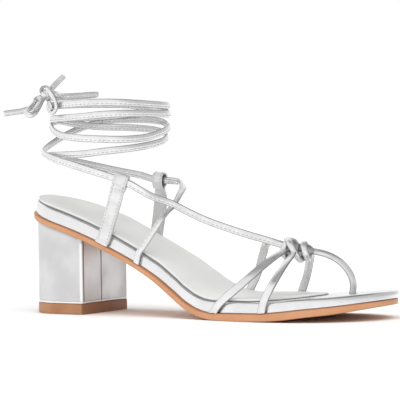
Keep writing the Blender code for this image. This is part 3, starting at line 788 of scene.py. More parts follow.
def hoop(middle: Vector, side: Vector, rise: Vector, steps: int) -> list[Station]:
    """Stations of a closed turn around a knot.

    Args:
        middle: Middle of the turn.
        side: Its half axis to the side.
        rise: Its half axis upward.
        steps: Number of stations.

    Returns:
        The stations, which face away from the middle.
    """
    turns = [2 * math.pi * i / steps for i in range(steps)]
    bows = [side * math.cos(t) + rise * math.sin(t) for t in turns]
    return [Station(middle + bow, bow.normalized()) for bow in bows]


class Curve:
    """Smooth curve through points that never overshoots them."""

    def __init__(self, xs: Sequence[float], ys: Sequence[float]) -> None:
        """Works out the slope at each point.

        Args:
            xs: Rising places along the curve.
            ys: Its heights there.
        """
        steps = [(ys[i + 1] - ys[i]) / (xs[i + 1] - xs[i]) for i in range(len(xs) - 1)]
        bends = [2 * a * b / (a + b) if a * b > 0 else 0.0 for a, b in zip(steps, steps[1:])]
        self.xs, self.ys, self.slopes = xs, ys, [steps[0], *bends, steps[-1]]

    def at(self, x: float) -> float:
        """Reads the curve.

        Args:
            x: Place along it.

        Returns:
            Its height there.
        """
        x = min(max(x, self.xs[0]), self.xs[-1])
        i = max(k for k in range(len(self.xs) - 1) if self.xs[k] <= x)
        span, rise = self.xs[i + 1] - self.xs[i], self.ys[i + 1] - self.ys[i]
        t = (x - self.xs[i]) / span
        bow = (self.slopes[i] * span - rise) * (1 - t) + (rise - self.slopes[i + 1] * span) * t
        return self.ys[i] + rise * t + bow * t * (1 - t)


@dataclass
class SoleForm:
    """The sole's curves: its plan from heel to toe, and the heights of its layers."""

    heel_back: float = -24.5
    heel_turn: float = 2.0
    heel_power: float = 2.1
    toe_turn: float = 156.0
    toe_tip: float = 206.4
    toe_power: float = 2.2
    bed_inset: float = 1.6
    sock_thick: float = 1.5
    row_step: float = 2.6
    end_steps: int = 16
    end_angle: float = 2.5
    columns: dict[str, Curve] = field(init=False)

    def __post_init__(self) -> None:
        """Lays a curve through each column of the sole table."""
        xs = [row.x for row in SOLE]
        self.columns = {name: Curve(xs, [getattr(row, name) for row in SOLE])
                        for name in SoleRow._fields[1:]}

    def height(self, x: float, stack: float) -> float:
        """Finds the height of a stack of layers, measured square to the sole's slope.

        Args:
            x: Place along the sole.
            stack: Thickness above the ground side.

        Returns:
            The height.
        """
        ground = self.columns["ground"]
        slope = ground.at(x + 0.5) - ground.at(x - 0.5)
        return ground.at(x) + stack * math.hypot(1.0, slope)

    def outsole_top(self, x: float, below: float = 0.0) -> float:
        """Height at x of a level below the outsole's upper face."""
        return self.height(x, self.columns["outsole"].at(x) - below)

    def bed_base(self, x: float) -> float:
        """Height at x of the footbed's underside."""
        return self.outsole_top(x, -GAP)

    def bed_top(self, x: float, below: float = 0.0) -> float:
        """Height at x of a level below the footbed's upper face."""
        return self.outsole_top(x, below - GAP - self.columns["footbed"].at(x))

    def sock_top(self, x: float, below: float = 0.0) -> float:
        """Height at x of a level below the sock's upper face."""
        return self.bed_top(x, below - GAP - self.sock_thick)

    def outline(self, x: float, inset: float, turn: float, tip: float) -> tuple[float, float]:
        """Finds the sole's edges.

        Args:
            x: Place along the sole.
            inset: How far the edges are set in.
            turn: Where the toe's rounding starts.
            tip: Where it ends.

        Returns:
            The outer and the inner edge.
        """
        heel = min(1.0, max(0.0, (self.heel_turn - x) / (self.heel_turn - self.heel_back - inset)))
        toe = min(1.0, max(0.0, (x - turn) / (tip - inset - turn))) if tip > turn else 0.0
        half = (self.columns["half"].at(x) - inset) * (1 - heel ** self.heel_power) ** (1 / self.heel_power)
        half *= (1 - toe ** self.toe_power) ** (1 / self.toe_power)
        centre = self.columns["centre"].at(x)
        return centre - half, centre + half

    def plan(self, inset: float, turn: float, tip: float) -> list[tuple[float, float, float]]:
        """Rows of the sole's outline.

        Args:
            inset: How far the outline is set in.
            turn: Where the toe's rounding starts.
            tip: Where it ends; a tip at the turn leaves a straight cut there.

        Returns:
            Rows (x, outer edge, inner edge) from heel to toe.
        """
        spread = (90 - 2 * self.end_angle) / (self.end_steps - 1)
        angles = [math.radians(self.end_angle + spread * i) for i in range(self.end_steps)]
        count = round((turn - self.heel_turn) / self.row_step)
        xs = [self.heel_turn - (self.heel_turn - self.heel_back - inset) * math.cos(angle)
              for angle in angles]
        xs += [self.heel_turn + (turn - self.heel_turn) * i / count for i in range(count + 1)]
        if tip > turn:
            xs += [turn + (tip - inset - turn) * math.cos(angle) for angle in reversed(angles)]
        return [(x, *self.outline(x, inset, turn, tip)) for x in xs]

    def ring(self, inset: float, level: Level, turn: float, tip: float, share: float = 1.0) -> Ring:
        """Ring of points around a layer.

        Args:
            inset: How far the ring is set in.
            level: Height of the ring at each x.
            turn: Where the toe's rounding starts.
            tip: Where it ends.
            share: Share of the width that the ring keeps; 0 folds it onto the middle line.

        Returns:
            The ring, along the outer side to the toe and back along the inner side.
        """
        outer, inner = [], []
        for x, left, right in self.plan(inset, turn, tip):
            middle, half = (left + right) / 2, (right - left) / 2 * share
            outer.append(Vector((x, middle - half, level(x))))
            inner.append(Vector((x, middle + half, level(x))))
        return outer + inner[::-1]

    def wall_station(self, foot: Foot, x: float, z: float, thick: float) -> Station:
        """A strap's station against the footbed's side.

        Args:
            foot: The strap's foot.
            x: Place along the sole.
            z: Height of the station.
            thick: The strap's thickness.

        Returns:
            The station, which faces away from the footbed.
        """
        side = foot.side.value
        inset = self.bed_inset - GAP - thick / 2
        edge = [self.outline(spot, inset, self.toe_turn, self.toe_tip)[side > 0]
                for spot in (x - 1, x, x + 1)]
        slope = (edge[2] - edge[0]) / 2
        return Station(Vector((x, edge[1], z)), Vector((-side * slope, side, 0)).normalized())

    def foot_rows(self, foot: Foot, thick: float) -> list[Station]:
        """Stations of a strap's foot, on the outsole's ledge and at the footbed's shoulder."""
        return [self.wall_station(foot, foot.ledge_x, self.bed_base(foot.ledge_x), thick),
                self.wall_station(foot, foot.shoulder_x, self.bed_top(foot.shoulder_x), thick)]


@dataclass
class Strip:
    """A folded leather strip swept along stations, with grooves for its stitch rows."""

    name: str
    stations: list[Station]
    width: float
    thick: float
    section: Section = Section.LACE
    closed: bool = False
    seat: Level | None = None
    soft_end: bool = False
    flip: bool = False
    crown: float = 0.4
    edge_round: float = 0.95
    edge_share: float = 0.98
    groove_half: float = 0.34
    groove_depth: float = 0.16
    face_steps: int = 6
    arc_steps: int = 4
    seat_rounds: int = 3
    tip_rows: tuple[tuple[float, float], ...] = ((0.25, 0.86), (0.4, 0.55))

    def rows(self, back: bool) -> list[float]:
        """Stitch rows of the front or the back, on the other side in a flipped strip."""
        return [-row if self.flip else row for row in self.section.value[back]]

    def face_line(self, back: bool) -> list[tuple[float, float]]:
        """Points of the strip's front or back, from its right edge to its left.

        Args:
            back: Whether the points are the back's.

        Returns:
            Pairs of how far across and how far out each point lies.
        """
        half, flat = self.width / 2, self.thick / 2 - self.crown
        bend = min(flat * self.edge_share, self.edge_round)
        face = half - bend
        cuts = {face * (1 - 2 * i / self.face_steps): 0.0 for i in range(self.face_steps + 1)}
        for row in self.rows(back):
            middle = row * half
            cuts = {a: b for a, b in cuts.items() if abs(a - middle) > self.groove_half}
            cuts.update({middle - self.groove_half: 0.0, middle: self.groove_depth,
                         middle + self.groove_half: 0.0})
        line = [(a, flat + self.crown * (1 - (a / half) ** 2) - cuts[a])
                for a in sorted(cuts, reverse=True)]
        turns = [0.5 * math.pi * (i + 0.5) / self.arc_steps for i in range(self.arc_steps)]
        arc = [(face + bend * math.cos(t), flat - bend + bend * math.sin(t)) for t in turns]
        return arc + line + [(-a, b) for a, b in reversed(arc)]

    def axes(self, i: int) -> tuple[Vector, Vector, Vector]:
        """Finds the strip's directions at a station.

        Args:
            i: Number of the station.

        Returns:
            The ways along, across and out of the strip.
        """
        last = len(self.stations) - 1
        ahead = self.stations[(i + 1) % len(self.stations) if self.closed else min(i + 1, last)]
        behind = self.stations[i - 1 if self.closed or i else 0]
        along = (ahead.spot - behind.spot).normalized()
        face = self.stations[i].face
        face = (face - along * face.dot(along)).normalized()
        return along, along.cross(face), face

    def build(self) -> bpy.types.Object:
        """Makes the strip's piece.

        Returns:
            The object, with attributes of how far along, across and out each point lies.
        """
        section = self.face_line(False) + [(a, -b) for a, b in reversed(self.face_line(True))]
        half, flat = self.width / 2, self.thick / 2
        rings, runs, run = [], [], 0.0
        for i, station in enumerate(self.stations):
            along, across, face = self.axes(i)
            ring = [station.spot + across * a + face * b for a, b in section]
            if self.seat and i == 0:
                for _ in range(self.seat_rounds):
                    ring = [p + along * (self.seat(p.x) - p.z) / along.z for p in ring]
            run += (station.spot - self.stations[i - 1].spot).length if i else 0.0
            rings.append(ring)
            runs.append(run)
        if self.soft_end:
            along, across, face = self.axes(len(self.stations) - 1)
            tip = self.stations[-1].spot
            for far, share in self.tip_rows:
                rings.append([tip + along * far + across * a * (0.5 + share / 2) + face * b * share
                              for a, b in section])
                runs.append(run + far)
        marks = {"run": [[value] * len(section) for value in runs],
                 "across": [[a / half for a, _ in section]] * len(rings),
                 "outward": [[b / flat for _, b in section]] * len(rings)}
        return add_piece(self.name, loft(rings, marks, closed=self.closed))


@dataclass
class Stitching:
    """Rows of stitches that lie in the grooves of strips, as one piece."""

    name: str
    pitch: float = 2.7
    length: float = 1.6
    girth: float = 0.4
    sink: float = 0.06
    segments: int = 6
    rings: int = 5
    bm: bmesh.types.BMesh = field(init=False)
    form: bpy.types.Mesh = field(init=False)

    def __post_init__(self) -> None:
        """Makes the form of one stitch and opens the mesh that the stitches go into."""
        self.bm = bmesh.new()
        one = bmesh.new()
        bmesh.ops.create_uvsphere(one, u_segments=self.segments, v_segments=self.rings, radius=1.0)
        bmesh.ops.scale(one, vec=Vector((self.length, self.girth, self.girth)) * 0.5 * MM, verts=one.verts)
        self.form = bpy.data.meshes.new(self.name + "_form")
        one.to_mesh(self.form)
        one.free()

    def stitch(self, spot: Vector, along: Vector, across: Vector, out: Vector) -> None:
        """Lays one stitch.

        Args:
            spot: Its middle.
            along: The way it runs.
            across: The way across it.
            out: The way away from the leather.
        """
        place = Matrix((along, across, out)).transposed().to_4x4()
        place.translation = spot * MM
        laid = self.form.copy()
        laid.transform(place)
        self.bm.from_mesh(laid)
        bpy.data.meshes.remove(laid)

    def rows(self, strip: Strip, start: float = 1.5, stop: float = 1.5) -> None:
        """Stitches every groove of a strip.

        Args:
            strip: The strip.
            start: Bare length at its start.
            stop: Bare length at its end.
        """
        spots = [station.spot for station in strip.stations]
        if strip.closed:
            spots = spots + spots[:1]
        runs = [0.0]
        for here, there in zip(spots, spots[1:]):
            runs.append(runs[-1] + (there - here).length)
        count = int((runs[-1] - start - stop) / self.pitch)
        half, flat = strip.width / 2, strip.thick / 2
        for k in range(count):
            at = start + self.pitch * (k + 0.5)
            i = next(n for n in range(len(runs) - 1) if runs[n + 1] >= at)
            share = (at - runs[i]) / max(runs[i + 1] - runs[i], MERGE)
            along, across, face = strip.axes(i)
            middle = spots[i].lerp(spots[i + 1], share)
            for sign, row in [(sign, row) for sign in (1, -1) for row in strip.rows(sign < 0)]:
                rise = flat - strip.crown * row ** 2 - strip.groove_depth + self.girth / 2 - self.sink
                self.stitch(middle + across * row * half + face * rise * sign, along, across, face)

    def build(self) -> bpy.types.Object:
        """Makes the piece."""
        return add_piece(self.name, self.bm)


@dataclass
class Studio:
    """White studio: camera at the photograph's angle, soft light all round and a pale floor."""

    azimuth: float = 30.1
    elevation: float = 0.8
    roll: float = -0.87
    distance: float = 1.050
    lens: float = 162.0
    sensor: float = 36.0
    far_clip: float = 100.0
    target: Vector = field(default_factory=lambda: Vector((0.0874, 0.0, 0.0670)))
    floor_size: float = 12.0
    floor_tone: float = 0.93
    floor_rough: float = 0.9
    sky: float = 1.0
    zenith: float = 0.20
    ceiling: tuple[float, float] = (0.74, 0.92)
    panel: float = 0.7
    panel_edge: tuple[float, float] = (0.975, 0.99)
    dim_side: Vector = field(default_factory=lambda: Vector((0.80, 0.25, 0.55)))
    dim_share: float = 0.45
    dim_reach: tuple[float, float] = (0.1, 0.85)
    overhead: float = 2.0
    overhead_spread: float = 60.0
    overhead_lean: tuple[float, float] = (14.0, 16.0)

    def build(self) -> None:
        """Sets up the camera, the light and the floor."""
        self.camera()
        self.world()
        self.light()
        self.floor()
        bpy.context.scene.view_settings.view_transform = "Standard"

    def camera(self) -> None:
        """Places the camera."""
        turn, rise, roll = (math.radians(a) for a in (self.azimuth, self.elevation, self.roll))
        back = Vector((math.sin(turn) * math.cos(rise), -math.cos(turn) * math.cos(rise), math.sin(rise)))
        right = (-back).cross(UP).normalized()
        top = right.cross(-back)
        axes = (right * math.cos(roll) + top * math.sin(roll),
                top * math.cos(roll) - right * math.sin(roll), back)
        data = bpy.data.cameras.new("studio_camera")
        data.lens = self.lens
        data.sensor_width = self.sensor
        data.clip_end = self.far_clip
        camera = bpy.data.objects.new("studio_camera", data)
        place = Matrix(axes).transposed().to_4x4()
        place.translation = self.target + back * self.distance
        camera.matrix_world = place
        bpy.context.scene.collection.objects.link(camera)
        bpy.context.scene.camera = camera

    def world(self) -> None:
        """White walls under a dim ceiling with a bright panel, dimmer beyond the toe."""
        world = bpy.data.worlds.new("white_studio")
        bpy.context.scene.world = world
        world.use_nodes = True
        bench = NodeBench(world.node_tree)
        shade = world.node_tree.nodes["Background"]
        shade.inputs["Color"].default_value = (1.0, 1.0, 1.0, 1.0)
        way = bench.node("ShaderNodeSeparateXYZ")
        place = bench.node("ShaderNodeTexCoord").outputs["Generated"]
        bench.link(place, way.inputs["Vector"])
        side = bench.node("ShaderNodeVectorMath", operation="DOT_PRODUCT")
        side.inputs[1].default_value = self.dim_side
        bench.link(place, side.inputs[0])
        ceiling = bench.math("MAXIMUM", bench.span(way.outputs["Z"], *self.ceiling, self.sky, self.zenith),
                             bench.span(way.outputs["Z"], *self.panel_edge, 0.0, self.panel))
        wall = bench.span(side.outputs["Value"], *self.dim_reach, 1.0, 1.0 - self.dim_share)
        bench.link(bench.math("MULTIPLY", ceiling, wall), shade.inputs["Strength"])

    def light(self) -> None:
        """Hangs a broad soft light over the set, out of sight of the leather's reflections."""
        data = bpy.data.lights.new("overhead_light", "SUN")
        data.energy = self.overhead
        data.angle = math.radians(self.overhead_spread)
        light = bpy.data.objects.new("overhead_light", data)
        light.rotation_euler = (*(math.radians(lean) for lean in self.overhead_lean), 0.0)
        light.visible_glossy = False
        bpy.context.scene.collection.objects.link(light)

    def floor(self) -> None:
        """Lays the pale floor."""
        bm = bmesh.new()
        bmesh.ops.create_grid(bm, x_segments=1, y_segments=1, size=self.floor_size / 2)
        floor = add_piece("studio_floor", bm)
        material = bpy.data.materials.new("white_floor")
        material.use_nodes = True
        shader = material.node_tree.nodes["Principled BSDF"]
        shader.inputs["Base Color"].default_value = (*(self.floor_tone,) * 3, 1.0)
        shader.inputs["Roughness"].default_value = self.floor_rough
        shader.inputs["Specular IOR Level"].default_value = 0.0
        floor.data.materials.append(material)


@dataclass
class Ankle:
    """The oval that the ankle laces wind around."""

    x: float = 24.5
    long: float = 36.5
    wide: float = 30.5

    def station(self, row: TurnRow) -> Station:
        """Station of a lace on its way around the ankle.

        Args:
            row: A point of the lace.

        Returns:
            The station, which faces away from the ankle.
        """
        turn = math.radians(row.turn)
        face = Vector((-math.cos(turn) / self.long, -math.sin(turn) / self.wide, 0)).normalized()
        return Station(Vector((self.x - (self.long + row.reach) * math.cos(turn),
                               -(self.wide + row.reach) * math.sin(turn), row.z)), face)


@dataclass
class Tie:
    """The bow at the back of the ankle: a knot, two loops and two ends of the same lace."""

    ankle: Ankle
    turn: float = 36.0
    reach: float = 3.2
    height: float = 131.0
    shift: float = 1.6
    view: float = 30.0
    width: float = 3.4
    thick: float = 1.7
    core: tuple[float, float, float] = (4.4, 4.0, 4.2)
    core_share: float = 0.9
    lead: float = 3.0
    tuck: float = 2.2
    step: float = 1.0
    turn_steps: int = 36
    turn_radius: float = 2.7
    turn_width: float = 3.3

    def way(self, right: float, away: float, up: float) -> Vector:
        """A way beside the knot, as seen from the outer side.

        Args:
            right: Part to the right.
            away: Part away from the viewer.
            up: Part upward.

        Returns:
            The way in the part's frame.
        """
        view = math.radians(self.view)
        return Vector((right * math.cos(view) - away * math.sin(view),
                       right * math.sin(view) + away * math.cos(view), up))

    def spot(self, row: CordRow) -> Vector:
        """A place beside the knot."""
        knot = self.ankle.station(TurnRow(self.turn, self.height, self.reach)).spot
        return knot + self.way(row.right + self.shift, row.away, row.up)

    def from_core(self, spot: Vector) -> list[Vector]:
        """Way of a lace out of the knot.

        Args:
            spot: Place that it heads for.

        Returns:
            A place within the knot, one at its side and one a little further out.
        """
        middle = self.spot(CordRow(0, 0, 0))
        way = (spot - middle).normalized()
        radius = 1 / math.sqrt(sum((a / b) ** 2 for a, b in zip(way, self.core)))
        return [middle - way * self.tuck] + [middle + way * (radius + GAP + far) for far in (0, self.lead)]

    def route(self, name: str) -> list[Vector]:
        """Route of an end or a loop, from the knot and, for a loop, back into it.

        Args:
            name: Name of its node.

        Returns:
            The places along it.
        """
        if name == "tie_loop_high":
            first, last = (self.spot(row) for row in TIE_LOOP_ENDS)
            rows = [first, *(self.ankle.station(row).spot for row in TIE_LOOP), last]
        else:
            rows = [self.spot(row) for row in TIE_ENDS[name]]
        closing = self.from_core(rows.pop())[::-1] if "loop" in name else []
        return smooth_path(self.from_core(rows[0]) + rows[1:] + closing, self.step)

    def cords(self, wardrobe: Wardrobe, knot: bpy.types.Object) -> None:
        """Makes the loops and ends.

        Args:
            wardrobe: Gives the finish.
            knot: The knot's core, which sits on the first end; not used.
        """
        for name, aim in TIE_FACES.items():
            face = self.way(*aim) if aim else None
            route = self.route(name)
            loop = "loop" in name
            ahead = route[1:] + [2 * route[-1] - route[-2]]
            stations = [Station(spot, face or UP.cross(there - spot)) for spot, there in zip(route, ahead)]
            strip = Strip(name + "_lace", stations, self.width, self.thick, soft_end=not loop)
            piece = wardrobe.dress(strip.build(), SILVER_TIE, name)

    def knot(self, wardrobe: Wardrobe) -> bpy.types.Object:
        """Makes the knot's core."""
        core = add_core("tie_knot_core", self.spot(CordRow(0, 0, 0)), Vector(self.core) * self.core_share)
        return wardrobe.dress(core, SILVER_TIE, "tie_knot")

    def turns(self, wardrobe: Wardrobe) -> None:
        """Makes two turns of lace around the core, and the curl that hangs over the upper turns.

        Args:
            wardrobe: Gives the finish.
        """
        middle = self.spot(CordRow(0, 0, 0))
        strips = []
        for name, ways in TIE_TURNS.items():
            shift, side, rise = (self.way(*way) for way in ways)
            turn = hoop(middle + shift, side * self.turn_radius, rise * self.turn_radius, self.turn_steps)
            strips.append(Strip(name, turn, self.turn_width, self.thick, closed=True))
        curl = path_through([self.ankle.station(row) for row in TIE_CURL], self.step)
        strips.append(Strip("tie_curl", curl, self.turn_width, self.thick, soft_end=True))
        for strip in strips:
            wardrobe.dress(strip.build(), SILVER_TIE)


@dataclass
class Sole:
    """Outsole, wrapped footbed and the sock on it."""

    form: SoleForm
    edge: float = 0.7
    top_edge: float = 0.35
    bed_tip: float = 209.2
    bed_shoulder: float = 2.3
    slot: tuple[float, float] = (4.7, 2.7)
    slot_reach: float = 20.0
    sock_inset: float = 2.8
    sock_power: float = 1.7
    sock_sink: float = 0.3
    sock_shadow: float = 0.65
    sock_turn: float = 136.0
    sock_tip: float = 169.0
    sock_edge: float = 0.5
    sock_thin: float = 0.7
    sock_thin_from: float = 110.0
    welt: float = 0.95
    welt_depth: float = 0.14
    # Rows of the line pressed beside the edge: a painted highlight on its outer lip, then painted shade in
    # its groove.
    welt_rows: tuple[tuple[float, float, float], ...] = (
        (-0.3, 0.0, 0.6), (-0.12, 0.7, -0.5), (0.0, 1.0, -0.5), (0.12, 0.7, -0.5), (0.3, 0.0, 0.0))
    # Depth of the band of painted shadow along the outsole's top edge, and the mark of the painted shade
    # along its bottom edge.
    top_shade_band: float = 0.6
    contact_shade: float = -0.8
    inner_shares: tuple[float, ...] = (0.92, 0.75, 0.5, 0.25, 0.0)
    round_steps: int = 6

    def layers(self, form: SoleForm, side: Sequence[RingRow], turn: float, tip: float) -> bmesh.types.BMesh:
        """Closed layer of the sole.

        Args:
            form: The layer's plan.
            side: Inset, height and painted mark of each ring, from the underside to the upper face.
            turn: Where the toe's rounding starts.
            tip: Where it ends.

        Returns:
            The layer's mesh.
        """
        low, high = side[0][:2], side[-1][:2]
        rings = [form.ring(*low, turn, tip, share) for share in reversed(self.inner_shares)]
        rings += [form.ring(inset, level, turn, tip) for inset, level, _ in side]
        rings += [form.ring(*high, turn, tip, share) for share in self.inner_shares]
        flat = [0.0] * len(self.inner_shares)
        marks = {"painted_mark": [[mark] * len(rings[0]) for mark in flat + [row[2] for row in side] + flat]}
        return loft(rings, marks, weld=True)

    def rounding(self, inset: float, radius: float, level: Callable[[float, float], float],
                 painted_mark: float = 0.0) -> list[RingRow]:
        """Rounded upper edge of a layer.

        Args:
            inset: How far the layer's side is set in.
            radius: Radius of the edge.
            level: Height at x of a level below the upper face.
            painted_mark: The edge's mark: painted highlight where positive, painted shade where negative.

        Returns:
            Inset, height and mark of each ring, from the side to the upper face.
        """
        return [(inset + radius * (1 - math.cos(t)),
                 lambda x, drop=radius * (1 - math.sin(t)): level(x, drop), painted_mark)
                for t in quarter_turn(self.round_steps)]

    def outsole(self) -> bpy.types.Object:
        """Makes the outsole, with both its edges rounded, painted shade along its bottom edge at the ground
        and painted shadow along its top edge under the footbed.

        Returns:
            The object.
        """
        form, edge = self.form, self.edge
        # Bottom rounding: painted shade at the ground; then the top band and rounding: painted shadow under
        # the footbed.
        side = [(edge * (1 - math.sin(t)), lambda x, up=edge * (1 - math.cos(t)): form.height(x, up),
                 self.contact_shade * math.cos(t)) for t in quarter_turn(self.round_steps)]
        side += [(0.0, lambda x: form.outsole_top(x, self.top_shade_band), 0.0)]
        side += self.rounding(0.0, self.top_edge, form.outsole_top, -1.0)
        return add_piece("outsole_leather", self.layers(form, side, form.toe_turn, form.toe_tip))

    def footbed(self) -> bpy.types.Object:
        """Makes the wrapped footbed, with the slot of the toe strap cut through it.

        Returns:
            The object.
        """
        form = self.form
        side = [(form.bed_inset, form.bed_base, 0.0),
                *self.rounding(form.bed_inset, self.bed_shoulder, form.bed_top)]
        bed = add_piece("footbed_wrap", self.layers(form, side, form.toe_turn, self.bed_tip))
        low, high = (row.spot for row in lean_rows(TOE_STRAP[:2], TOE_AIM))
        reach = (high - low).normalized() * self.slot_reach
        ends = [Station(low - reach, TOE_AIM), Station(high + reach, TOE_AIM)]
        cutter = Strip("slot", ends, *self.slot, Section.PLAIN, crown=0.0).build()
        cut = bed.modifiers.new("slot", "BOOLEAN")
        cut.operation, cut.solver, cut.object = "DIFFERENCE", "EXACT", cutter
        ready = bed.evaluated_get(bpy.context.evaluated_depsgraph_get())
        mesh = bpy.data.meshes.new_from_object(ready)
        bed.modifiers.clear()
        bed.data = mesh
        mesh.set_sharp_from_angle(angle=SHARP_CORNER)
        bpy.data.objects.remove(cutter, do_unlink=True)
        return bed

    def sock_level(self, x: float, below: float = 0.0) -> float:
        """Height at x of a level below the sock's upper face, which thins to its front."""
        thin = min(1.0, max(0.0, (x - self.sock_thin_from) / (self.sock_tip - self.sock_thin_from)))
        return self.form.sock_top(x, below + thin * self.sock_thin)

    def sock(self) -> bpy.types.Object:
        """Makes the sock, with a painted highlight on its rounded edge, a painted shadow line under that
        edge, and the line pressed beside it with painted shade in it.

        Returns:
            The object.
        """
        # The lower band of the side is a painted shadow line under the edge; the rounding above carries a
        # painted highlight.
        side = [(self.sock_inset, lambda x, up=up: self.form.bed_top(x, self.sock_sink - up), -1.0)
                for up in (0.0, self.sock_shadow)]
        side += self.rounding(self.sock_inset, self.sock_edge, self.sock_level, 1.0)
        for far, drop, painted_mark in self.welt_rows:
            side.append((self.sock_inset + self.welt + far,
                         lambda x, below=drop * self.welt_depth: self.sock_level(x, below), painted_mark))
        pointed = replace(self.form, toe_power=self.sock_power)
        return add_piece("insole_sock_leather", self.layers(pointed, side, self.sock_turn, self.sock_tip))

    def build(self, wardrobe: Wardrobe) -> None:
        """Makes and dresses the three layers.

        Args:
            wardrobe: Gives the finishes.
        """
        wardrobe.dress(self.outsole(), TAN, "outsole")
        wardrobe.dress(self.footbed(), SILVER, "footbed")
        wardrobe.dress(self.sock(), SOCK_GREY, "insole_sock")


@dataclass
class Heel:
    """Leather-wrapped block, flat at the breast, on its top lift."""

    form: SoleForm
    breast: float = 20.5
    block_inset: float = 2.2
    lift_inset: float = 1.9
    lift_thick: float = 6.2
    corner: float = 0.7
    lip: float = 0.35
    recess: float = 0.4
    seat: float = GAP / 3
    seam: float = -3.2
    shadow: float = 1.5
    panel_cut: float = 0.1
    outer_shares: tuple[float, ...] = (0.35, 0.7)
    inner_shares: tuple[float, ...] = (0.3, 0.65)
    groove_half: float = 0.42
    seam_depth: float = 1.0
    corner_steps: int = 5
    corner_room: float = 0.2
    # Inset, height and mark of the hem's rows: a painted highlight along the folded-under bottom edge, and
    # painted shade in the crease above it.
    hem_rows: tuple[tuple[float, float, float], ...] = (
        (0.9, 0.0, 1.0), (0.4, 0.08, 1.0), (0.12, 0.3, 1.0), (0.0, 0.7, 1.0), (0.0, 1.2, 1.0),
        (0.15, 1.35, -0.5), (0.0, 1.6, 0.0))
    # Share of the wall's height and mark of each row; the top row carries painted shadow under the outsole.
    wall_rows: tuple[tuple[float, float], ...] = (
        (0.03, 0.0), (0.25, 0.0), (0.5, 0.0), (0.75, 0.0), (0.9, 0.0), (1.0, -0.55))
    lift_low: tuple[tuple[float, float], ...] = ((0.6, 0.0), (0.25, 0.1), (0.06, 0.3), (0.0, 0.6))
    lift_high: tuple[tuple[float, float], ...] = ((0.0, 0.3), (0.08, 0.08), (0.3, 0.0))

    def breast_line(self, left: float, right: float) -> list[tuple[float, float, float]]:
        """The breast from its outer to its inner corner: a folded edge with a painted highlight, a sunk
        panel with painted shadow beside that edge, and a dark seam.

        Args:
            left: The outer corner's y.
            right: The inner corner's y.

        Returns:
            The y, the depth and the mark of each point, for its painted highlight, painted shadow and dark
            seam.
        """
        cut, groove = left + self.lip + self.corner, self.groove_half
        # A painted highlight on the lip, then painted shadow in the sunk panel beside it.
        line = [(cut, 0.0, 1.0), (cut + self.panel_cut, self.recess, -1.0),
                (cut + self.shadow, self.recess, -1.0), (cut + self.shadow + groove, self.recess, 0.0)]
        line += [(left + (self.seam - left) * share, self.recess, 0.0) for share in self.outer_shares]
        line += [(self.seam + far * groove, self.recess + depth, mark) for far, depth, mark in (
            (-2.0, 0.0, 0.0), (-1.0, self.seam_depth, -1.0), (1.0, self.seam_depth, -1.0), (2.0, 0.0, 0.0))]
        line += [(self.seam + (right - self.seam) * share, self.recess, 0.0) for share in self.inner_shares]
        return line + [(right - self.lip - self.corner, self.recess / 2, 0.0),
                       (right - self.corner, 0.0, 0.0)]

    def ring(self, inset: float, level: Level, panel: bool) -> tuple[Ring, list[float]]:
        """Ring around the heel.

        Args:
            inset: How far it is set in from the sole's outline.
            level: Height of the ring at each x.
            panel: Whether the breast has its sunk panel and seam.

        Returns:
            The ring's points and their marks, with a painted highlight on the breast's outer corner.
        """
        front = self.breast - max(0.0, inset - self.block_inset)
        bend = front - self.corner
        rows = [row for row in self.form.plan(inset, self.breast, self.breast)
                if row[0] < bend - self.corner_room]
        rows.append((bend, *self.form.outline(bend, inset, self.breast, self.breast)))
        left, right = rows[-1][1], rows[-1][2]
        turns = [0.5 * math.pi * (i + 1) / self.corner_steps for i in range(self.corner_steps)]
        bends = [(bend + self.corner * math.sin(t), self.corner * (1 - math.cos(t))) for t in turns]
        # The breast's outer corner carries a painted highlight.
        points = [(x, outer, 0.0) for x, outer, _ in rows[:-1]] + [(*rows[-1][:2], 1.0)]
        points += [(x, left + dy, 1.0) for x, dy in bends]
        points += [(front - (depth if panel else 0.0), y, mark)
                   for y, depth, mark in self.breast_line(left, right)]
        points += [(x, right - dy, 0.0) for x, dy in reversed(bends)]
        points += [(x, inner, 0.0) for x, _, inner in reversed(rows)]
        return [Vector((x, y, level(x))) for x, y, _ in points], [mark for _, _, mark in points]

    def block(self) -> bpy.types.Object:
        """Makes the wrapped block, its bottom edge folded under with a painted highlight along it, and
        painted shadow along its top under the outsole.

        Returns:
            The object.
        """
        base = self.lift_thick + self.seat
        start = base + self.hem_rows[-1][1]
        # Marks of the hem and wall rows: painted highlight along the hem, painted shade in the crease above
        # it, painted shadow under the outsole.
        steps = [(inset, lambda x, z=base + up: z, fold) for inset, up, fold in self.hem_rows]
        steps += [(0.0, lambda x, s=share: start * (1 - s) + self.form.height(x, -self.seat) * s, fold)
                  for share, fold in self.wall_rows]
        rings, marks = [], []
        for inset, level, fold in steps:
            ring, mark = self.ring(self.block_inset + inset, level, True)
            rings.append(ring)
            marks.append([fold or value for value in mark])
        return add_piece("heel_block_wrap", loft(rings, {"painted_mark": marks}))

    def lift(self) -> bpy.types.Object:
        """Makes the top lift, with painted shade on its front face.

        Returns:
            The object.
        """
        steps = [*self.lift_low, *((inset, self.lift_thick - drop) for inset, drop in self.lift_high)]
        rings = [self.ring(self.lift_inset + inset, lambda x, z=up: z, False)[0] for inset, up in steps]
        # Painted shade on the lift's front face.
        cut = [[-1.0 if spot.x > self.breast - self.corner else 0.0 for spot in ring] for ring in rings]
        return add_piece("heel_lift_rubber", loft(rings, {"painted_mark": cut}))

    def build(self, wardrobe: Wardrobe) -> None:
        """Makes and dresses the heel."""
        wardrobe.dress(self.block(), SILVER_HEEL, "heel_block")
        wardrobe.dress(self.lift(), LIFT_TAN, "heel_lift")


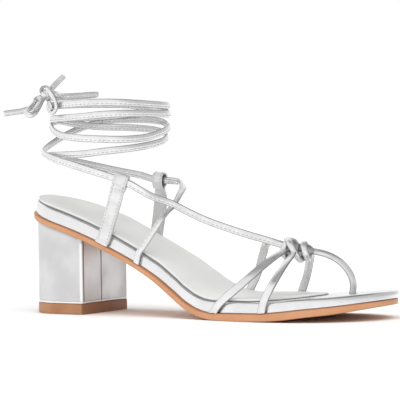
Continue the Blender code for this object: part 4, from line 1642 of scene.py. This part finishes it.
@dataclass
class Vamp:
    """Five straps gathered in a knot over the forefoot."""

    form: SoleForm
    width: float = 4.8
    thick: float = 2.0
    toe_width: float = 3.9
    knot_thick: float = 2.8
    knot_crown: float = 0.45
    tuck_width: float = 4.0
    step: float = 1.3
    ring_steps: int = 48

    def knot_turn(self, name: str, turn: KnotTurn) -> Strip:
        """One turn of strap around the knot.

        Args:
            name: Name of the piece.
            turn: Its place and sizes.

        Returns:
            The closed strip.
        """
        yaw, pitch = math.radians(turn.yaw), math.radians(turn.pitch)
        side = Vector((math.sin(yaw), math.cos(yaw), 0)) * turn.wide
        rise = Vector((math.sin(pitch), 0, math.cos(pitch))) * turn.high
        return Strip(name, hoop(turn.middle, side, rise, self.ring_steps), turn.width, self.knot_thick,
                     Section.STRAP, closed=True, crown=self.knot_crown)

    def build(self, wardrobe: Wardrobe) -> None:
        """Makes and dresses the straps and the knot.

        Args:
            wardrobe: Gives the finishes.
        """
        toe = path_through(lean_rows(TOE_STRAP, TOE_AIM), self.step)
        strips = [Strip("vamp_strap_toe", toe, self.toe_width, self.thick, Section.STRAP)]
        for name, (foot, rows) in VAMP_STRAPS.items():
            path = path_through(self.form.foot_rows(foot, self.thick) + lean_rows(rows), self.step)
            strips.append(Strip(name, path, self.width, self.thick, Section.STRAP, seat=self.form.bed_base))
        strips += [self.knot_turn(name, turn) for name, turn in VAMP_TURNS.items()]
        tuck = [Station(Vector(spot), Vector(face).normalized()) for spot, face in VAMP_TUCK]
        strips.append(Strip("vamp_knot_tuck", path_through(tuck, self.step), self.tuck_width,
                            self.knot_thick, Section.STRAP, crown=self.knot_crown))
        for i, strip in enumerate(strips):
            wardrobe.dress(strip.build(), SILVER_STRAP, *(("vamp_straps",) if i == 0 else ()))
        # The cores take darker silver, painted shade between the turns.
        for name, (middle, sizes) in VAMP_CORES.items():
            wardrobe.dress(add_core(name, Vector(middle), Vector(sizes)), SILVER_KNOT_SHADE)


@dataclass
class Tab:
    """An ankle tab: a strip from the sole, folded at its top into a loop for the lace."""

    name: str
    foot: Foot
    loop: Vector
    lace: Vector
    rise_rows: tuple[StripRow, ...]
    form: SoleForm
    width: float = 8.6
    thick: float = 2.4
    leaf: float = 1.15
    half_gap: float = 1.45
    straight: float = 2.2
    loop_lead: float = 6.0
    tail: float = 2.4
    fold_lead: float = 1.2
    fold_steps: int = 8
    crown: float = 0.05
    lining_short: float = 0.8
    lining_in: float = 0.3
    lining_thin: float = 0.1
    lining_crown: float = 0.03
    bare_end: float = 3.0
    bar_shares: tuple[float, ...] = (-0.45, -0.15, 0.15, 0.45)
    step: float = 1.3

    def axes(self) -> tuple[Vector, Vector, Vector]:
        """Directions of the lace, out of the tab and up along it, at the loop.

        Returns:
            The three directions.
        """
        along = self.lace.normalized()
        face = Vector((0, self.foot.side.value, 0))
        face = (face - along * face.dot(along)).normalized()
        rise = along.cross(face)
        return along, face, rise if rise.z > 0 else -rise

    def lace_end(self, way: int) -> list[Station]:
        """Stations of a lace that reaches the middle of the loop, from the front (-1) or the back (1)."""
        along, face, _ = self.axes()
        return [Station(self.loop + along * way * far, face) for far in (self.loop_lead, GAP / 2)]

    def leaf_rows(self, rows: Sequence[Station], way: int) -> list[Station]:
        """Stations of the leaf at the outside (1) or the inside (-1) of the doubled strip."""
        return [Station(row.spot + row.face * way * self.leaf / 2, row.face * way) for row in rows]

    def build(self, wardrobe: Wardrobe, seams: Stitching) -> None:
        """Makes and dresses the folded strip and its lining.

        Args:
            wardrobe: Gives the finishes.
            seams: Stitching that the tab's rows join.
        """
        _, face, rise = self.axes()
        reach = self.half_gap + self.leaf / 2
        top = self.loop - rise * (self.straight + reach)
        body = [*self.form.foot_rows(self.foot, self.thick), *lean_rows(self.rise_rows),
                Station(top - rise * self.fold_lead, face)]
        turns = [math.pi * i / self.fold_steps for i in range(self.fold_steps + 1)]
        bows = [face * math.cos(t) + rise * math.sin(t) for t in turns]
        over = [Station(self.loop - rise * self.straight + face * reach, face)]
        over += [Station(self.loop + rise * self.straight + bow * reach, bow) for bow in bows]
        over += [Station(self.loop - rise * self.straight - face * reach, -face)]
        path = path_through(body, self.step)
        inside = [row for row in path if (row.spot - body[-1].spot).length < self.tail][::-1]
        folded = path_through(self.leaf_rows(body, 1) + over + self.leaf_rows(inside[::2], -1), self.step)
        strip = Strip(self.name + "_strip", folded, self.width, self.leaf, Section.TAB,
                      seat=self.form.bed_base, crown=self.crown)
        wardrobe.dress(strip.build(), SILVER_TAB, self.name)
        bare = [row for row in path if (row.spot - body[-1].spot).length > self.tail + self.lining_short]
        lining = Strip(self.name + "_lining", self.leaf_rows(bare, -1), self.width - self.lining_in,
                       self.leaf - self.lining_thin, Section.PLAIN, seat=self.form.bed_base,
                       crown=self.lining_crown)
        wardrobe.dress(lining.build(), GREY_LINING)
        seams.rows(strip, stop=self.bare_end)
        near = min(range(len(path)),
                   key=lambda i: (strip.stations[i].spot - top - face * self.leaf / 2).length)
        along, across, out = strip.axes(near)
        for share in self.bar_shares:
            spot = strip.stations[near].spot + across * share * self.width + out * self.leaf / 2
            seams.stitch(spot, across, -along, out)


@dataclass
class Laces:
    """Instep laces and their turns around the ankle."""

    form: SoleForm
    ankle: Ankle
    outer: Tab
    inner: Tab
    width: float = 4.2
    thick: float = 1.9
    step: float = 1.3
    turn_step: float = 2.0
    ease: float = 0.06
    lift_share: float = 0.2
    settle_rounds: int = 6
    blur: float = 0.25
    bare_start: float = 7.0

    def dense(self, rows: Sequence[TurnRow]) -> list[Vector]:
        """Rows of an ankle lace at even small turns, as vectors of turn, height and reach."""
        return smooth_path([Vector(row) for row in rows], self.turn_step, lambda move: abs(move.x))

    def settled(self) -> tuple[list[Vector], list[Vector]]:
        """Lays the two laces on each other where they cross, the outer one outside.

        Returns:
            The outer and the inner lace's rows.
        """
        outer, inner = self.dense(OUTER_TURNS), self.dense(INNER_TURNS)
        for _ in range(self.settle_rounds):
            for over in outer:
                for under in inner:
                    apart = (over.x - under.x + 180) % 360 - 180
                    if abs(apart) > self.turn_step:
                        continue
                    offset = abs(over.y - under.y) / self.width
                    if offset >= 1.0:
                        continue
                    need = (self.thick + self.ease) * math.sqrt(1 - offset ** 4)
                    short = need - (over.z - under.z)
                    if short > 0:
                        over.z += short * self.lift_share
                        under.z -= short * (1 - self.lift_share)
            for line in (outer, inner):
                reach = [row.z for row in line]
                for i in range(1, len(line) - 1):
                    line[i].z = self.blur * (reach[i - 1] + reach[i + 1]) + (1 - 2 * self.blur) * reach[i]
        return outer, inner

    def build(self, wardrobe: Wardrobe) -> None:
        """Makes and dresses the laces and their stitching.

        Args:
            wardrobe: Gives the finishes.
        """
        side_foot = self.form.foot_rows(SIDE_FOOT, self.thick)
        over, under = self.settled()
        paths = {
            "instep_long_lace": lean_rows(LONG_LACE) + self.outer.lace_end(-1),
            "instep_side_lace": side_foot + lean_rows(SIDE_LACE) + self.inner.lace_end(-1),
            "ankle_lace_outer": self.outer.lace_end(1)[::-1]
            + [self.ankle.station(TurnRow(*row)) for row in over],
            "ankle_lace_inner": self.inner.lace_end(1)[::-1]
            + [self.ankle.station(TurnRow(*row)) for row in under],
        }
        nodes = {"instep_long_lace": "instep_laces", "ankle_lace_outer": "ankle_wrap"}
        seams = {"instep": Stitching("instep_stitching"), "ankle": Stitching("ankle_stitching")}
        for name, rows in paths.items():
            strip = Strip(name, path_through(rows, self.step), self.width, self.thick,
                          seat=self.form.bed_base if name == "instep_side_lace" else None,
                          flip=name == "ankle_lace_inner")
            stands_for = [nodes[name]] if name in nodes else []
            wardrobe.dress(strip.build(), SILVER_LACE, *stands_for)
            seams[name.split("_")[0]].rows(strip, start=self.bare_start)
        for row in seams.values():
            wardrobe.dress(row.build(), THREAD)


def main() -> None:
    """Builds the studio and every piece of the sandal."""
    logging.basicConfig(level=logging.INFO, format="%(name)s %(message)s")
    Studio().build()
    wardrobe = Wardrobe()
    form, ankle = SoleForm(), Ankle()
    tie = Tie(ankle)
    tie.cords(wardrobe, tie.knot(wardrobe))
    tie.turns(wardrobe)
    Sole(form).build(wardrobe)
    Heel(form).build(wardrobe)
    Vamp(form).build(wardrobe)
    outer = Tab("ankle_tab_outer", Foot(Side.OUTER, 35.6, 38.6), Vector((51.0, -28.3, 79.0)),
                Vector((-0.88, -0.30, 0.36)), (), form)
    inner = Tab("ankle_tab_inner", Foot(Side.INNER, 42.6, 43.0), Vector((43.2, 27.8, 79.0)),
                Vector((-0.95, 0.30, 0.09)),
                (StripRow(44.0, 25.2, 57.7, 176), StripRow(43.9, 27.2, 67.0, 176)), form)
    seams = Stitching("tab_stitching", pitch=2.1, length=1.3)
    for tab in (outer, inner):
        tab.build(wardrobe, seams)
    wardrobe.dress(seams.build(), THREAD)
    Laces(form, ankle, outer, inner).build(wardrobe)


if __name__ == "__main__":
    main()
